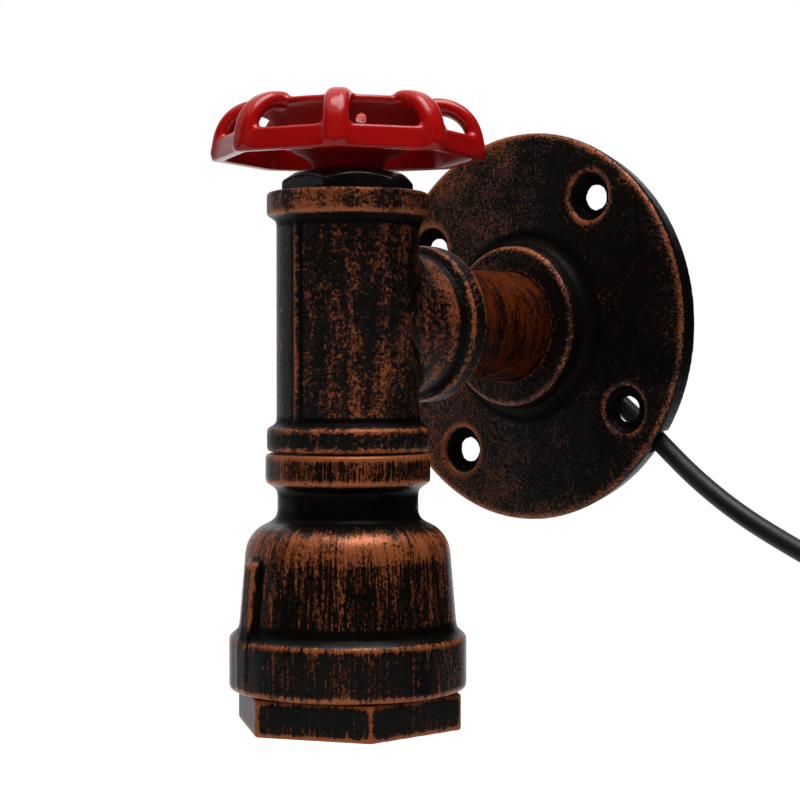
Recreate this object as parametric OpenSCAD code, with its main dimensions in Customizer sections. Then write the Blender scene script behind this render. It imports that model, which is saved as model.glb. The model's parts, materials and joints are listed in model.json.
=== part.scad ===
// Pipe wall light: a wall flange, a short pipe, a tee with a handwheel switch on top,
// and a bell reducer that hides an Edison screw lampholder, fed by a cord behind the flange.
// Millimetres. The wall is the plane y = 0, the light stands out along -Y and +Z is up.

/* [Wall flange] */
// Outside diameter of the flange
flange_d = 97; // [90:0.5:120]
// Thickness of the flange from the wall to its front face
flange_t = 7.4; // [7.2:0.1:12]
// Rounding of the front edge
flange_edge_r = 1.2; // [0.4:0.1:2]
// Thickness of the plate over the hollow back
plate_t = 2.4; // [2.2:0.1:2.5]
// How much smaller in radius the rim is at the wall than at the front
rim_draft = 1.6; // [0.2:0.1:2]
// Width of the rim that stands on the wall
rim_w = 2.4; // [2:0.1:4]
// Diameter of the circle that the screw holes lie on
screw_circle_d = 75; // [66:0.5:78]
// Number of screw holes
screw_count = 4; // [3:1:6]
// Turn of the first screw hole from the top, clockwise from the front
screw_turn = 33; // [0:1:89]
// Diameter of a screw hole
screw_hole_d = 6; // [4:0.1:8]
// Diameter of the countersink for a screw head
screw_seat_d = 12.5; // [9:0.1:14]
// Depth of the countersink
screw_seat_depth = 1.8; // [1:0.1:1.9]
// Diameter of the hub at its lip
hub_d = 40; // [36:0.5:46]
// Height of the hub over the front face
hub_h = 6.1; // [5:0.1:8]
// Radius of the fillet round the hub's foot
hub_fillet = 3; // [0.5:0.1:4]

/* [Pipe] */
// Distance from the wall to the axis of the tee
reach = 70.3; // [64:0.1:110]
// Outside diameter of the pipe
pipe_d = 26.9; // [24:0.1:28]
// Wall of the pipe
pipe_wall = 2.7; // [2:0.1:3.2]
// Length of pipe that screws into a fitting
thread_len = 11; // [8:0.5:14]
// Gap all round a screwed joint
thread_gap = 0.05; // [0.03:0.01:0.1]
// Length of pipe that screws into the flange hub
hub_thread_len = 5.8; // [4.4:0.1:6]

/* [Tee] */
// Diameter of the tee between its beads
tee_d = 32.6; // [31:0.1:36]
// Diameter of the beads
bead_d = 37; // [35:0.1:42]
// Height of a bead
bead_h = 5.6; // [4:0.1:8]
// Rounding of the bead edges
bead_r = 0.8; // [0.3:0.1:1.2]
// Height of the flare under a bead
bead_flare = 0.9; // [0.5:0.1:3]
// Length of the straight run
run_len = 59; // [54:0.5:80]
// Length of the branch from the run's axis
branch_len = 28; // [25:0.5:40]
// Width of the casting seam down the front
seam_w = 1.2; // [0.8:0.1:2]
// Height of the casting seam over the body
seam_h = 0.35; // [0.2:0.05:0.6]

/* [Bell reducer] */
// Gap between the tee and the reducer
joint_gap = 0.3; // [0.2:0.05:1]
// Diameter of the small bead
small_bead_d = 37.7; // [36:0.1:42]
// Height of the small bead
small_bead_h = 7; // [5:0.1:9]
// Diameter of the neck
neck_d = 32.2; // [31:0.1:36]
// Height of the neck under the small bead
neck_h = 8.4; // [6:0.1:12]
// Diameter of the bell where its shoulder ends
bell_top_d = 47; // [45:0.1:52]
// Height of the round shoulder
shoulder_h = 8; // [6:0.1:10]
// Diameter of the bell above its bead
bell_d = 49.8; // [48:0.1:54]
// Height of the bell under the shoulder
bell_h = 17.8; // [14:0.1:24]
// Diameter of the big bead
big_bead_d = 54.2; // [52.5:0.1:60]
// Height of the big bead
big_bead_h = 12.4; // [8:0.1:16]
// Wall of the bell
bell_wall = 3.2; // [2.5:0.1:3.6]
// Number of ribs on the bell
rib_count = 2; // [1:1:6]
// Width of a rib
rib_w = 4.8; // [3:0.1:8]
// Turn of the first rib round the axis, from the front to the right
rib_turn = -17; // [-180:1:180]

/* [Hex bushing] */
// Width across the flats
hex_af = 46.8; // [44:0.1:52]
// Height of the hexagon
hex_h = 8.3; // [6:0.1:12]
// Turn of a corner round the axis, from the front to the right
hex_turn = 55; // [0:1:60]
// Diameter of the thread that screws into the reducer
bushing_d = 38.9; // [38.4:0.1:39.4]
// Length of the thread that screws into the reducer
bushing_len = 13; // [8:0.5:14]
// Height of the lip that holds the lampholder
lip_h = 2.6; // [1.5:0.1:4]
// Diameter of the opening in the lip
mouth_d = 32; // [30:0.1:33.5]

/* [Lampholder] */
// Outside diameter of the lampholder
holder_d = 34.8; // [33.4:0.1:35]
// Height of the lampholder cap
cap_h = 12; // [11:0.1:14]
// Inside diameter of the Edison screw shell
shell_d = 26.6; // [26.2:0.1:27.2]
// Length of the Edison screw shell
shell_len = 22; // [18:0.5:22]
// Diameter of the hollow tube that carries the lampholder
tube_d = 10; // [8:0.5:10]
// Bore of the hollow tube
tube_bore = 7; // [6.4:0.1:7.4]
// Width across the flats of the tube nuts
tube_nut_af = 14; // [13:0.5:17]
// Thickness of a tube nut
tube_nut_h = 3; // [2:0.1:4]
// Thickness of the plate that carries the tube
holder_plate_t = 2.5; // [2:0.1:4]

/* [Handwheel] */
// Distance across the corners of the rim at its lower edge
wheel_d = 63; // [58:0.2:70]
// Number of corners, each with a knuckle bar
wheel_corners = 8; // [6:1:10]
// Turn of a corner at rest, from the front to the right
wheel_turn_rest = 39; // [0:1:90]
// Height of the rim band
rim_band_h = 5.2; // [4:0.1:6]
// Thickness of the rim band
rim_band_t = 3; // [2.5:0.1:4]
// Inward lean of the rim and the bars, in degrees
rim_lean = 10.5; // [0:0.5:15]
// Thickness of a knuckle bar
bar_t = 3.8; // [3:0.1:4.4]
// How far a knuckle bar stands out from the rim's corner
bar_proud = 0.3; // [0.1:0.1:1]
// Width of a knuckle bar
bar_w = 5.8; // [4.6:0.1:7]
// Radius of the bend of a knuckle bar, at its middle line
bar_bend_r = 8.4; // [7:0.1:9]
// Thickness of the dished web
web_t = 2.4; // [2:0.1:3]
// Diameter of the small hole in the side of the web
web_hole_d = 3; // [1:0.1:3.4]
// Diameter of the wheel hub
wheel_hub_d = 16; // [13:0.2:18]
// Height of the hub under the rim's lower edge
wheel_hub_drop = 2.5; // [1.5:0.1:4]
// Gap between the wheel hub and the plug
wheel_gap = 0.3; // [0.2:0.05:1]

/* [Plug and switch] */
// Width across the flats of the plug
plug_af = 26.7; // [25:0.1:28]
// Height of the plug over the tee
plug_h = 4.5; // [4:0.1:8]
// Height of the slope round the top of the plug, at a corner
plug_slope_h = 2.2; // [0.8:0.1:3]
// Width of the slope round the top of the plug, at a corner
plug_slope_w = 3.4; // [1:0.1:4]
// Turn of a corner of the plug, from the front to the right
plug_turn = 25; // [0:1:60]
// Diameter of the stem
stem_d = 5.9; // [5:0.1:6.4]
// Running gap round the stem
stem_gap = 0.05; // [0.02:0.01:0.1]
// Diameter of the threaded end of the stem
stem_thread_d = 3.9; // [3:0.1:4]
// Diameter of the switch housing
switch_d = 19; // [17:0.1:22]
// Height of the switch housing
switch_h = 12; // [10:0.1:14]
// Diameter of the threaded neck of the switch
switch_neck_d = 8.6; // [8.4:0.1:10]

/* [Cord] */
// Diameter of the cord
cord_d = 4.6; // [4:0.1:4.6]
// Diameter of an inner wire
wire_d = 1.8; // [1.2:0.1:2]
// Gap between neighbouring turns of the coil
turn_gap = 0.5; // [0.45:0.05:1]
// Largest radius of the coil, at the middle of the cord
coil_r = 31.5; // [31:0.5:36]
// Width of the mains plug
mains_plug_w = 35.3; // [30:0.1:38]
// Thickness of the mains plug
mains_plug_t = 13.7; // [12:0.1:14]
// Length of the mains plug body
mains_plug_len = 34; // [28:0.5:40]
// Diameter of a plug pin
pin_d = 4; // [3.8:0.1:5]
// Length of a plug pin
pin_len = 19; // [15:0.5:20]
// Distance between the plug pins
pin_pitch = 18.6; // [16:0.1:20]

/* [Hidden] */
$fn = 96;

// Finishes
copper_black = [0.24, 0.13, 0.08];
black_gloss = [0.05, 0.05, 0.05];
wheel_red = [0.66, 0.06, 0.08];
steel = [0.72, 0.73, 0.75];
brass = [0.80, 0.62, 0.26];
ceramic = [0.93, 0.92, 0.88];
phenolic = [0.11, 0.09, 0.08];
nylon = [0.20, 0.20, 0.21];
cord_black = [0.08, 0.08, 0.09];

// Small cut that leaves a clean face
cut = 1;
// Close gap between inner pieces that only sit beside each other
seat_gap = 0.1;

// Pipe and its joints
pipe_r = pipe_d / 2;
pipe_bore_r = pipe_r - pipe_wall;
socket_r = pipe_r + thread_gap;
socket_depth = thread_len + 1;
fitting_bore_r = pipe_r - 0.5;

// Flange
flange_r = flange_d / 2;
hollow_depth = flange_t - plate_t;
hub_top = flange_t + hub_h;
nipple_wall_end = hub_top - hub_thread_len;
relief_w = 5;
relief_r = pipe_r + relief_w;
hub_lip_round = 1;
relief_depth = nipple_wall_end - 0.3;
nipple_tee_end = reach - branch_len + thread_len;

// Tee, plug and switch
run_end = run_len / 2;
plug_top = run_end + plug_h;
plug_stub_end = run_end - thread_len;
switch_top = plug_stub_end;
switch_end = switch_top - switch_h;
switch_r = switch_d / 2;
switch_wall = 1.2;
switch_roof = 1.5;
switch_bore_r = switch_r - switch_wall;
switch_neck_r = switch_neck_d / 2;
switch_neck_end = plug_top - 0.4;
stem_r = stem_d / 2;
stem_square = (stem_d - 0.1) * cos(45);
pocket_depth = 2.6;
switch_nut_h = 2;
switch_nut_af = switch_neck_d + 3;
pocket_r = switch_nut_af / 2 / cos(30) + 0.6;
base_t = 2;
rotor_t = 3;
rotor_gap = 0.5;
press_gap = 0.02;
rotor_top = switch_top - switch_roof - 0.2;
terminal_len = 6;
terminal_x = 4;
terminal_t = 0.8;
terminal_w = 3;

// Handwheel, with heights over the rim's lower edge
wheel_hub_end = plug_top + wheel_gap;
wheel_z = wheel_hub_end + wheel_hub_drop;
bar_foot_r = wheel_d / 2 + bar_proud - bar_t / 2 / cos(rim_lean);
bar_bend_from = [bar_foot_r - rim_band_h * tan(rim_lean), rim_band_h];
bar_bend_c = bar_bend_from - bar_bend_r * [cos(rim_lean), sin(rim_lean)];
bar_top_h = bar_bend_c.y + bar_bend_r;
bar_foot_h = 1;
bar_stub = 1.8;
bar_lap = 0.4;
bar_step = 0.1;
ring_r = bar_bend_c.x - 0.4;
ring_top_h = bar_top_h + 0.6;
ring_h = 1.7;
ring_edge = 0.4;
ring_w = 2.2;
dish_r = ring_r - 7;
dish_h = 2.3;
dish_rise = [ring_r - 5, dish_h + 1.9];
dish_top = [ring_r - 1.6, ring_top_h - ring_h - 0.3];
web_hole_h = dish_h + 5.4;
web_hole_turn = 16;
wheel_hub_r = wheel_hub_d / 2;
wheel_seat_h = dish_h + web_t;
wheel_seat_z = wheel_z + wheel_seat_h;
washer_t = 1;
washer_r = 4.6;
washer_gap = 0.15;
wheel_nut_af = stem_thread_d + 3.1;
wheel_nut_h = 3.2;
nut_slope_h = 0.4;
stem_end = wheel_seat_z + washer_t + wheel_nut_h;

// Reducer, downwards from the tee
red_top = -run_end - joint_gap;
neck_top = red_top - small_bead_h;
shoulder_top = neck_top - neck_h;
bell_top = shoulder_top - shoulder_h;
big_bead_top = bell_top - bell_h;
red_end = big_bead_top - big_bead_h;
plate_seat = shoulder_top + 0.4;
bead_slope_h = 1.2;
neck_foot_w = 0.7;
neck_foot_low = 0.2;
neck_foot_h = 1.6;
rib_sink = 2;
rib_rise = 0.5;
rib_proud = 1.6;
rib_bead_proud = 0.25;
rib_bead_slope = 0.4;
rib_end_h = 1;
neck_bore_r = pipe_r - 2.2;
bell_bore_r = bell_top_d / 2 - bell_wall;
bushing_r = bushing_d / 2;
bushing_socket_r = bushing_r + thread_gap;
bushing_top = red_end + bushing_len;

// Lampholder, upwards from the bushing's lip
hex_top = red_end - joint_gap;
hex_end = hex_top - hex_h;
lip_z = hex_end + lip_h;
holder_r = holder_d / 2;
cap_gap = 2.3;
cap_top = plate_seat - tube_nut_h - cap_gap;
sleeve_top = cap_top - cap_h;
sleeve_len = sleeve_top - lip_z;
sleeve_wall = 2.3;
sleeve_bore_r = holder_r - sleeve_wall;
core_t = 7;
core_end = sleeve_top - 4;
core_top = core_end + core_t;
shell_r = shell_d / 2;
shell_wall = 1.2;
contact_t = 0.8;
contact_tip_h = 1.6;
contact_r = 4.5;
contact_tip_r = [3, 2];
shell_collar_len = contact_t + contact_tip_h + 0.8;
shell_collar_r = shell_r + 0.5;
tube_r = tube_d / 2;
tube_engage = 4;
cap_wall = 2;
cap_neck_w = 3;
cap_rim_h = 4;
terminal_screw_x = 9;
terminal_screw_r = 1.9;
terminal_screw_h = 1.8;
screw_slot_w = 0.6;
screw_slot_depth = 0.7;
tube_top = plate_seat + holder_plate_t + tube_nut_h + 2.5;

// Cord, from its grip in the pipe to the mains plug
cord_r = cord_d / 2;
wire_r = wire_d / 2;
grip_end = nipple_tee_end - 1;
grip_len = 10;
grip_tail_end = 26;
grip_taper_w = 3.2;
cord_sleeve_w = 0.9;
grip_head_r = pipe_bore_r - 0.15;
slot_w = cord_d + 0.8;
slot_from = [28, -19.5];
slot_dir = -39.8;
slot_len = 24;
coil_x = 130;
coil_z = -96;
coil_y = -4;
layer_turns = 2.5;
layers = 4;
coil_turns = layer_turns * layers;
turn_pitch = cord_d + turn_gap;
coil_inner_r = coil_r - layer_turns * turn_pitch;
loop_rings = 24;
coil_top = coil_z + coil_r;
coil_front = coil_y - (layers - 1) * turn_pitch;
lead_end_x = coil_x - cord_d;
tail_start_x = coil_x + cord_d;
plug_axis_x = coil_x + 30;
plug_gap = 1.5;
plug_axis_y = coil_front - cord_r - mains_plug_t / 2 - plug_gap;
plug_cord_z = coil_z - 6;
plug_taper_len = 22;
plug_taper_w = 2.9;
plug_body_z = plug_cord_z - plug_taper_len;
plug_face_z = plug_body_z - mains_plug_len;
plug_neck_w = 15;
plug_neck_t = 11;
plug_corner_r = 4;
plug_full_len = 12;
tie_t = 1;
tie_w = 4;
tie_gap = 0.4;

// Points of the lead, from the grip through the flange's back to the coil
lead_points = [
    [0, -grip_tail_end, 0], [0, -22, 0], [0.5, -16.9, -0.4], [2.1, -12.2, -1.5], [4.7, -8.1, -3.3],
    [8, -5, -5.7], [11.8, -3.1, -8.4], [16, -2.4, -11.4], [22, -2.4, -15.7], [29, -2.4, -20.8],
    [36, -2.4, -26.2], [42, -2.4, -31.2], [48.5, -2.5, -36.2], [56, -2.6, -41.2], [63.5, -2.8, -45.4],
    [71, -3, -49], [78.5, -3.2, -52.3], [88, -3.5, -56.2], [98, -3.8, -59.8], [108, -4, -62.6],
    [116, -4, -64.1], [lead_end_x - cord_d, coil_y, coil_top], [lead_end_x, coil_y, coil_top]];
// Points of the tail, from the coil over its face to the mains plug
tail_points = [
    [tail_start_x, coil_front, coil_top], [coil_x + 6.6, coil_front, coil_top],
    [coil_x + 13.9, coil_front - 0.8, coil_top - 1.1], [coil_x + 20.4, coil_front - 2.8, coil_top - 4.5],
    [coil_x + 25.5, coil_front - 5.4, coil_top - 9.7], [coil_x + 28.8, coil_front - 7.9, coil_top - 16.2],
    [plug_axis_x, coil_front - 9.9, coil_top - 23.4], [plug_axis_x, coil_front - 10.6, coil_top - 29.5],
    [plug_axis_x, plug_axis_y, plug_cord_z + cord_d], [plug_axis_x, plug_axis_y, plug_cord_z]];
// Points of the inner wires, from the grip to the switch and the lampholder
live_points = [
    [2, -grip_end, 1.5], [2, -grip_end - 4, 1], [3, -reach + 9, -3], [3.8, -reach + 4, -6],
    [terminal_x, -reach, -5], [terminal_x, -reach, switch_end - terminal_len - seat_gap]];
switched_points = [
    [-terminal_x, -reach, switch_end - terminal_len - seat_gap], [-terminal_x, -reach, -8],
    [-3, -reach, -20], [-1.6, -reach, -32], [-1.4, -reach, tube_top], [-1.4, -reach, cap_top - tube_engage],
    [-4, -reach, core_top + 3.2], [-terminal_screw_x + 2.4, -reach, core_top + 1.2]];
neutral_points = [
    [-2, -grip_end, -1.5], [-2, -grip_end - 4, -2.5], [0, -reach + 8, -10], [1.2, -reach + 2.5, -21],
    [1.4, -reach, -33], [1.4, -reach, tube_top], [1.4, -reach, cap_top - tube_engage],
    [4, -reach, core_top + 3.2], [terminal_screw_x - 2.4, -reach, core_top + 1.2]];

// Helper functions

// Points on an arc, from one angle to another
function arc(c, r, a0, a1, n = 6) =
    [for (i = [0:n]) let (a = a0 + (a1 - a0) * i / n) c + r * [cos(a), sin(a)]];
function unit(v) = v / norm(v);
// Smooth step from 0 to 1
function ease(x) = let (t = max(0, min(1, x))) t * t * (3 - 2 * t);
// Direction of a route at one of its points
function heading(p, i) = unit(p[min(i + 1, len(p) - 1)] - p[max(i - 1, 0)]);
// One ring of a tube, square to the route; side is a direction that no stretch of the route follows
function ring(p, i, r, sides, side) =
    let (t = heading(p, i), a = unit(cross(t, side)), b = cross(t, a))
    [for (k = [0:sides - 1]) p[i] + r * (cos(360 * k / sides) * a + sin(360 * k / sides) * b)];
// Distance along the wound cord, in turns, becomes a point on its middle line
function coil_radius(u) =
    let (l = min(floor(u / layer_turns), layers - 1), f = u / layer_turns - l)
    l % 2 == 0 ? coil_r + (coil_inner_r - coil_r) * f : coil_inner_r + (coil_r - coil_inner_r) * f;
function coil_climb(u) = [for (l = [1:layers - 1]) ease((u - l * layer_turns) * 2 + 0.5)];
function total(v) = v * [for (i = v) 1];
function coil_point(u) =
    [coil_x + coil_radius(u) * sin(360 * u), coil_y - turn_pitch * total(coil_climb(u)),
        coil_z + coil_radius(u) * cos(360 * u)];
coil_points = concat(
    [[lead_end_x, coil_y, coil_top]],
    [for (i = [0:coil_turns * loop_rings]) coil_point(i / loop_rings)],
    [[tail_start_x, coil_front, coil_top]]);
// Least gap between stretches of the coil that are half a turn or more apart
coil_gap = min([for (i = [0:len(coil_points) - 1], j = [i + loop_rings / 2:len(coil_points) - 1])
    norm(coil_points[i] - coil_points[j])]) - cord_d;
echo(coil_gap = coil_gap);
function length_of(p) = total([for (i = [1:len(p) - 1]) norm(p[i] - p[i - 1])]);
cord_length = length_of(lead_points) + length_of(coil_points) + length_of(tail_points);
echo(cord_length = cord_length);

// Helper modules

module out_of_wall() {
    rotate([90, 0, 0]) children();
}

module on_tee_axis(z = 0) {
    translate([0, -reach, z]) children();
}

// Turns something drawn along +X to the front and then to the right by an angle
module facing(angle) {
    rotate(angle - 90) children();
}

// Solid tube along a route
module tube_along(p, r, sides, side) {
    n = len(p);
    points = [for (i = [0:n - 1]) each ring(p, i, r, sides, side)];
    wall = [for (i = [0:n - 2], k = [0:sides - 1])
        let (k2 = (k + 1) % sides, a = i * sides, b = a + sides)
        each [[a + k, b + k, b + k2], [a + k, b + k2, a + k2]]];
    start = [for (k = [1:sides - 2]) [0, k, k + 1]];
    last = (n - 1) * sides;
    end = [for (k = [1:sides - 2]) [last, last + k + 1, last + k]];
    polyhedron(points, concat(wall, start, end));
}

// Hexagonal prism with a corner along +X
module hex_prism(af, h) {
    cylinder(d = af / cos(30), h = h, $fn = 6);
}

// Hexagonal prism with its top corners cut back all round
module hex_sloped(af, h, slope_w, slope_h) {
    r = af / 2 / cos(30);
    intersection() {
        hex_prism(af, h);
        union() {
            cylinder(r = r, h = h - slope_h);
            translate([0, 0, h - slope_h]) cylinder(r1 = r, r2 = r - slope_w, h = slope_h);
        }
    }
}

// Outline of a fitting arm from its middle to its end, with a flared and rounded bead
function arm_outline(body_r, rim_r, len) = concat(
    [[0, 0], [body_r, 0], [body_r, len - bead_h - bead_flare]],
    arc([rim_r - bead_r, len - bead_h + bead_r], bead_r, -50, 0, 4),
    arc([rim_r - bead_r, len - bead_r], bead_r, 0, 90, 4),
    [[0, len]]);

// Sub-parts

module wall_flange() {
    lip_r = hub_d / 2;
    foot_r = lip_r + hub_fillet;
    profile = concat(
        [[0, 0]],
        [[flange_r - rim_draft, 0]],
        arc([flange_r - flange_edge_r, flange_t - flange_edge_r], flange_edge_r, 0, 90),
        arc([foot_r, flange_t + hub_fillet], hub_fillet, 270, 180),
        arc([lip_r - hub_lip_round, hub_top - hub_lip_round], hub_lip_round, 0, 90, 4),
        [[0, hub_top]]);
    seat_flare = (screw_seat_d - screw_hole_d) / screw_seat_depth;
    color(copper_black)
    out_of_wall()
    difference() {
        rotate_extrude() polygon(profile);
        translate([0, 0, -cut]) cylinder(r = flange_r - rim_draft - rim_w, h = hollow_depth + cut);
        translate([0, 0, -cut]) cylinder(r = relief_r, h = relief_depth + cut);
        cylinder(r = socket_r, h = hub_top + cut);
        for (i = [0:screw_count - 1])
            rotate(90 - screw_turn - 360 * i / screw_count)
            translate([screw_circle_d / 2, 0, 0]) {
                cylinder(d = screw_hole_d, h = flange_t + cut);
                translate([0, 0, flange_t - screw_seat_depth])
                    cylinder(d1 = screw_hole_d, d2 = screw_seat_d + seat_flare * cut,
                        h = screw_seat_depth + cut);
            }
        translate(slot_from)
        rotate(slot_dir)
        translate([0, -slot_w / 2, -cut]) cube([slot_len, slot_w, hollow_depth + cut]);
    }
}

module pipe_nipple() {
    color(copper_black)
    out_of_wall()
    translate([0, 0, nipple_wall_end])
    difference() {
        cylinder(r = pipe_r, h = nipple_tee_end - nipple_wall_end);
        translate([0, 0, -cut]) cylinder(r = pipe_bore_r, h = nipple_tee_end + cut);
    }
}

module pipe_tee() {
    seam_len = run_len - 2 * (bead_h + bead_flare);
    color(copper_black)
    on_tee_axis()
    difference() {
        union() {
            rotate_extrude() polygon(arm_outline(tee_d / 2, bead_d / 2, run_end));
            mirror([0, 0, 1]) rotate_extrude() polygon(arm_outline(tee_d / 2, bead_d / 2, run_end));
            rotate([-90, 0, 0]) rotate_extrude() polygon(arm_outline(tee_d / 2, bead_d / 2, branch_len));
            translate([-seam_w / 2, -tee_d / 2 - seam_h, -seam_len / 2])
                cube([seam_w, seam_h + cut, seam_len]);
        }
        cylinder(r = fitting_bore_r, h = run_len + cut, center = true);
        rotate([-90, 0, 0]) cylinder(r = fitting_bore_r, h = branch_len + cut);
        for (turn = [[0, 0, 0], [180, 0, 0]])
            rotate(turn) translate([0, 0, run_end - socket_depth]) cylinder(r = socket_r, h = run_len);
        rotate([-90, 0, 0]) translate([0, 0, branch_len - socket_depth]) cylinder(r = socket_r, h = run_len);
    }
}

module close_nipple() {
    low = plate_seat + holder_plate_t;
    color(steel)
    on_tee_axis(low)
    difference() {
        cylinder(r = pipe_r, h = -run_end + thread_len - low);
        translate([0, 0, -cut]) cylinder(r = pipe_bore_r, h = run_len);
    }
}

module bell_reducer() {
    neck_r = neck_d / 2;
    top_r = bell_top_d / 2;
    rib_r = big_bead_d / 2;
    outline = concat(
        [[0, red_end]],
        arc([big_bead_d / 2 - bead_r, red_end + bead_r], bead_r, -90, 0, 4),
        arc([big_bead_d / 2 - bead_r, big_bead_top - bead_r], bead_r, 0, 60, 4),
        [[bell_d / 2, big_bead_top + bead_slope_h]],
        [[top_r, bell_top]],
        arc([top_r - shoulder_h, bell_top], shoulder_h, 0, 58, 8),
        [[neck_r + neck_foot_w, shoulder_top + neck_foot_low]],
        [[neck_r, shoulder_top + neck_foot_h]],
        [[neck_r, neck_top - bead_slope_h]],
        arc([small_bead_d / 2 - bead_r, neck_top + bead_r], bead_r, -60, 0, 4),
        arc([small_bead_d / 2 - bead_r, red_top - bead_r], bead_r, 0, 90, 4),
        [[0, red_top]]);
    inside = [[0, red_top + cut], [socket_r, red_top + cut], [socket_r, plate_seat],
        [neck_bore_r, plate_seat], [neck_bore_r, shoulder_top - 1], [bell_bore_r, bell_top - 1],
        [bell_bore_r, bushing_top + 2], [bushing_socket_r, bushing_top + 2],
        [bushing_socket_r, red_end - cut], [0, red_end - cut]];
    rib_face_r = rib_r + rib_bead_proud;
    rib = [[top_r - rib_sink, bell_top + rib_rise], [top_r + rib_proud, bell_top - rib_end_h],
        [rib_r - rib_bead_slope, big_bead_top], [rib_face_r, big_bead_top - rib_end_h],
        [rib_face_r, red_end + rib_end_h], [top_r - rib_sink, red_end + rib_end_h]];
    color(copper_black)
    on_tee_axis()
    difference() {
        union() {
            rotate_extrude() polygon(outline);
            for (i = [0:rib_count - 1])
                facing(rib_turn + 360 * i / rib_count)
                rotate([90, 0, 0]) linear_extrude(rib_w, center = true) polygon(rib);
        }
        rotate_extrude() polygon(inside);
    }
}

module hex_bushing() {
    color(copper_black)
    on_tee_axis()
    difference() {
        union() {
            translate([0, 0, hex_end]) facing(hex_turn) hex_prism(hex_af, hex_h);
            translate([0, 0, hex_end + 1]) cylinder(r = bushing_r, h = bushing_top - hex_end - 1);
        }
        translate([0, 0, lip_z]) cylinder(r = holder_r + seat_gap, h = bushing_top - lip_z + cut);
        translate([0, 0, hex_end - cut]) cylinder(d = mouth_d, h = lip_h + 2 * cut);
    }
}

module bonnet_plug() {
    color(black_gloss)
    on_tee_axis()
    difference() {
        union() {
            translate([0, 0, run_end])
            facing(plug_turn)
                hex_sloped(plug_af, plug_h, plug_slope_w, plug_slope_h);
            translate([0, 0, plug_stub_end]) cylinder(r = pipe_r, h = thread_len);
        }
        translate([0, 0, plug_stub_end - cut]) cylinder(r = switch_neck_r + thread_gap, h = run_len);
        translate([0, 0, plug_top - pocket_depth]) cylinder(r = pocket_r, h = run_len);
    }
}

module switch_housing() {
    color(nylon)
    on_tee_axis()
    difference() {
        union() {
            translate([0, 0, switch_end]) cylinder(r = switch_r, h = switch_h);
            translate([0, 0, switch_end]) cylinder(r = switch_neck_r, h = switch_neck_end - switch_end);
        }
        translate([0, 0, switch_end - cut]) cylinder(r = switch_bore_r, h = switch_h - switch_roof + cut);
        cylinder(r = stem_r + stem_gap, h = run_len);
    }
}

module switch_base() {
    color(ceramic)
    on_tee_axis(switch_end)
    cylinder(r = switch_bore_r - seat_gap, h = base_t);
}

module switch_terminals() {
    color(brass)
    on_tee_axis(switch_end - terminal_len)
    for (side = [-1, 1])
        translate([side * terminal_x - terminal_t / 2, -terminal_w / 2, 0])
            cube([terminal_t, terminal_w, terminal_len]);
}

module switch_rotor() {
    color(brass)
    on_tee_axis(rotor_top - rotor_t)
    difference() {
        cylinder(r = switch_bore_r - rotor_gap, h = rotor_t);
        translate([0, 0, -cut]) cylinder(r = stem_r + press_gap, h = rotor_t + 2 * cut);
    }
}

module switch_nut() {
    color(steel)
    on_tee_axis(plug_top - pocket_depth)
    difference() {
        hex_prism(switch_nut_af, switch_nut_h);
        translate([0, 0, -cut]) cylinder(r = switch_neck_r + thread_gap, h = switch_nut_h + 2 * cut);
    }
}

module valve_stem() {
    low = rotor_top - rotor_t;
    color(steel)
    on_tee_axis()
    union() {
        translate([0, 0, low]) cylinder(r = stem_r, h = wheel_hub_end - low);
        facing(wheel_turn_rest)
        translate([-stem_square / 2, -stem_square / 2, wheel_hub_end - cut])
            cube([stem_square, stem_square, wheel_seat_z - wheel_hub_end + cut]);
        translate([0, 0, wheel_seat_z - cut]) cylinder(d = stem_thread_d, h = stem_end - wheel_seat_z + cut);
    }
}

// Octagonal rim that leans inwards, with knuckle bars that bend over to the ring of a dished web
module handwheel() {
    outer = [[0, -wheel_hub_drop], [wheel_hub_r, -wheel_hub_drop], [wheel_hub_r, -0.3], [dish_r, dish_h],
        dish_rise, dish_top, [ring_r, ring_top_h - ring_h]];
    inner = [[ring_r, ring_top_h - ring_edge], [ring_r - ring_edge, ring_top_h],
        [ring_r - ring_w, ring_top_h], [dish_top.x - web_t, ring_top_h - 0.6],
        [dish_rise.x - web_t, dish_rise.y + 1.2], [washer_r + 1.4, wheel_seat_h], [0, wheel_seat_h]];
    color(wheel_red)
    on_tee_axis(wheel_z)
    facing(wheel_turn_rest)
    difference() {
        union() {
            rotate_extrude() polygon(concat(outer, inner));
            wheel_rim();
            for (i = [0:wheel_corners - 1])
                rotate(360 * i / wheel_corners)
                knuckle_bar();
        }
        translate([-stem_square / 2 - stem_gap, -stem_square / 2 - stem_gap, -wheel_hub_drop - cut])
            cube([stem_square + 2 * stem_gap, stem_square + 2 * stem_gap, ring_top_h + wheel_hub_drop]);
        rotate(web_hole_turn)
        translate([wheel_hub_r, 0, web_hole_h])
        rotate([0, 90, 0]) cylinder(d = web_hole_d, h = ring_r - wheel_hub_r + cut);
    }
}

module wheel_rim() {
    shrink = 2 * rim_band_h * tan(rim_lean);
    inner_d = wheel_d - 2 * rim_band_t;
    skew = shrink * cut / rim_band_h;
    difference() {
        cylinder(d1 = wheel_d, d2 = wheel_d - shrink, h = rim_band_h, $fn = wheel_corners);
        translate([0, 0, -cut])
            cylinder(d1 = inner_d + skew, d2 = inner_d - shrink - skew, h = rim_band_h + 2 * cut,
                $fn = wheel_corners);
    }
}

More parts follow.
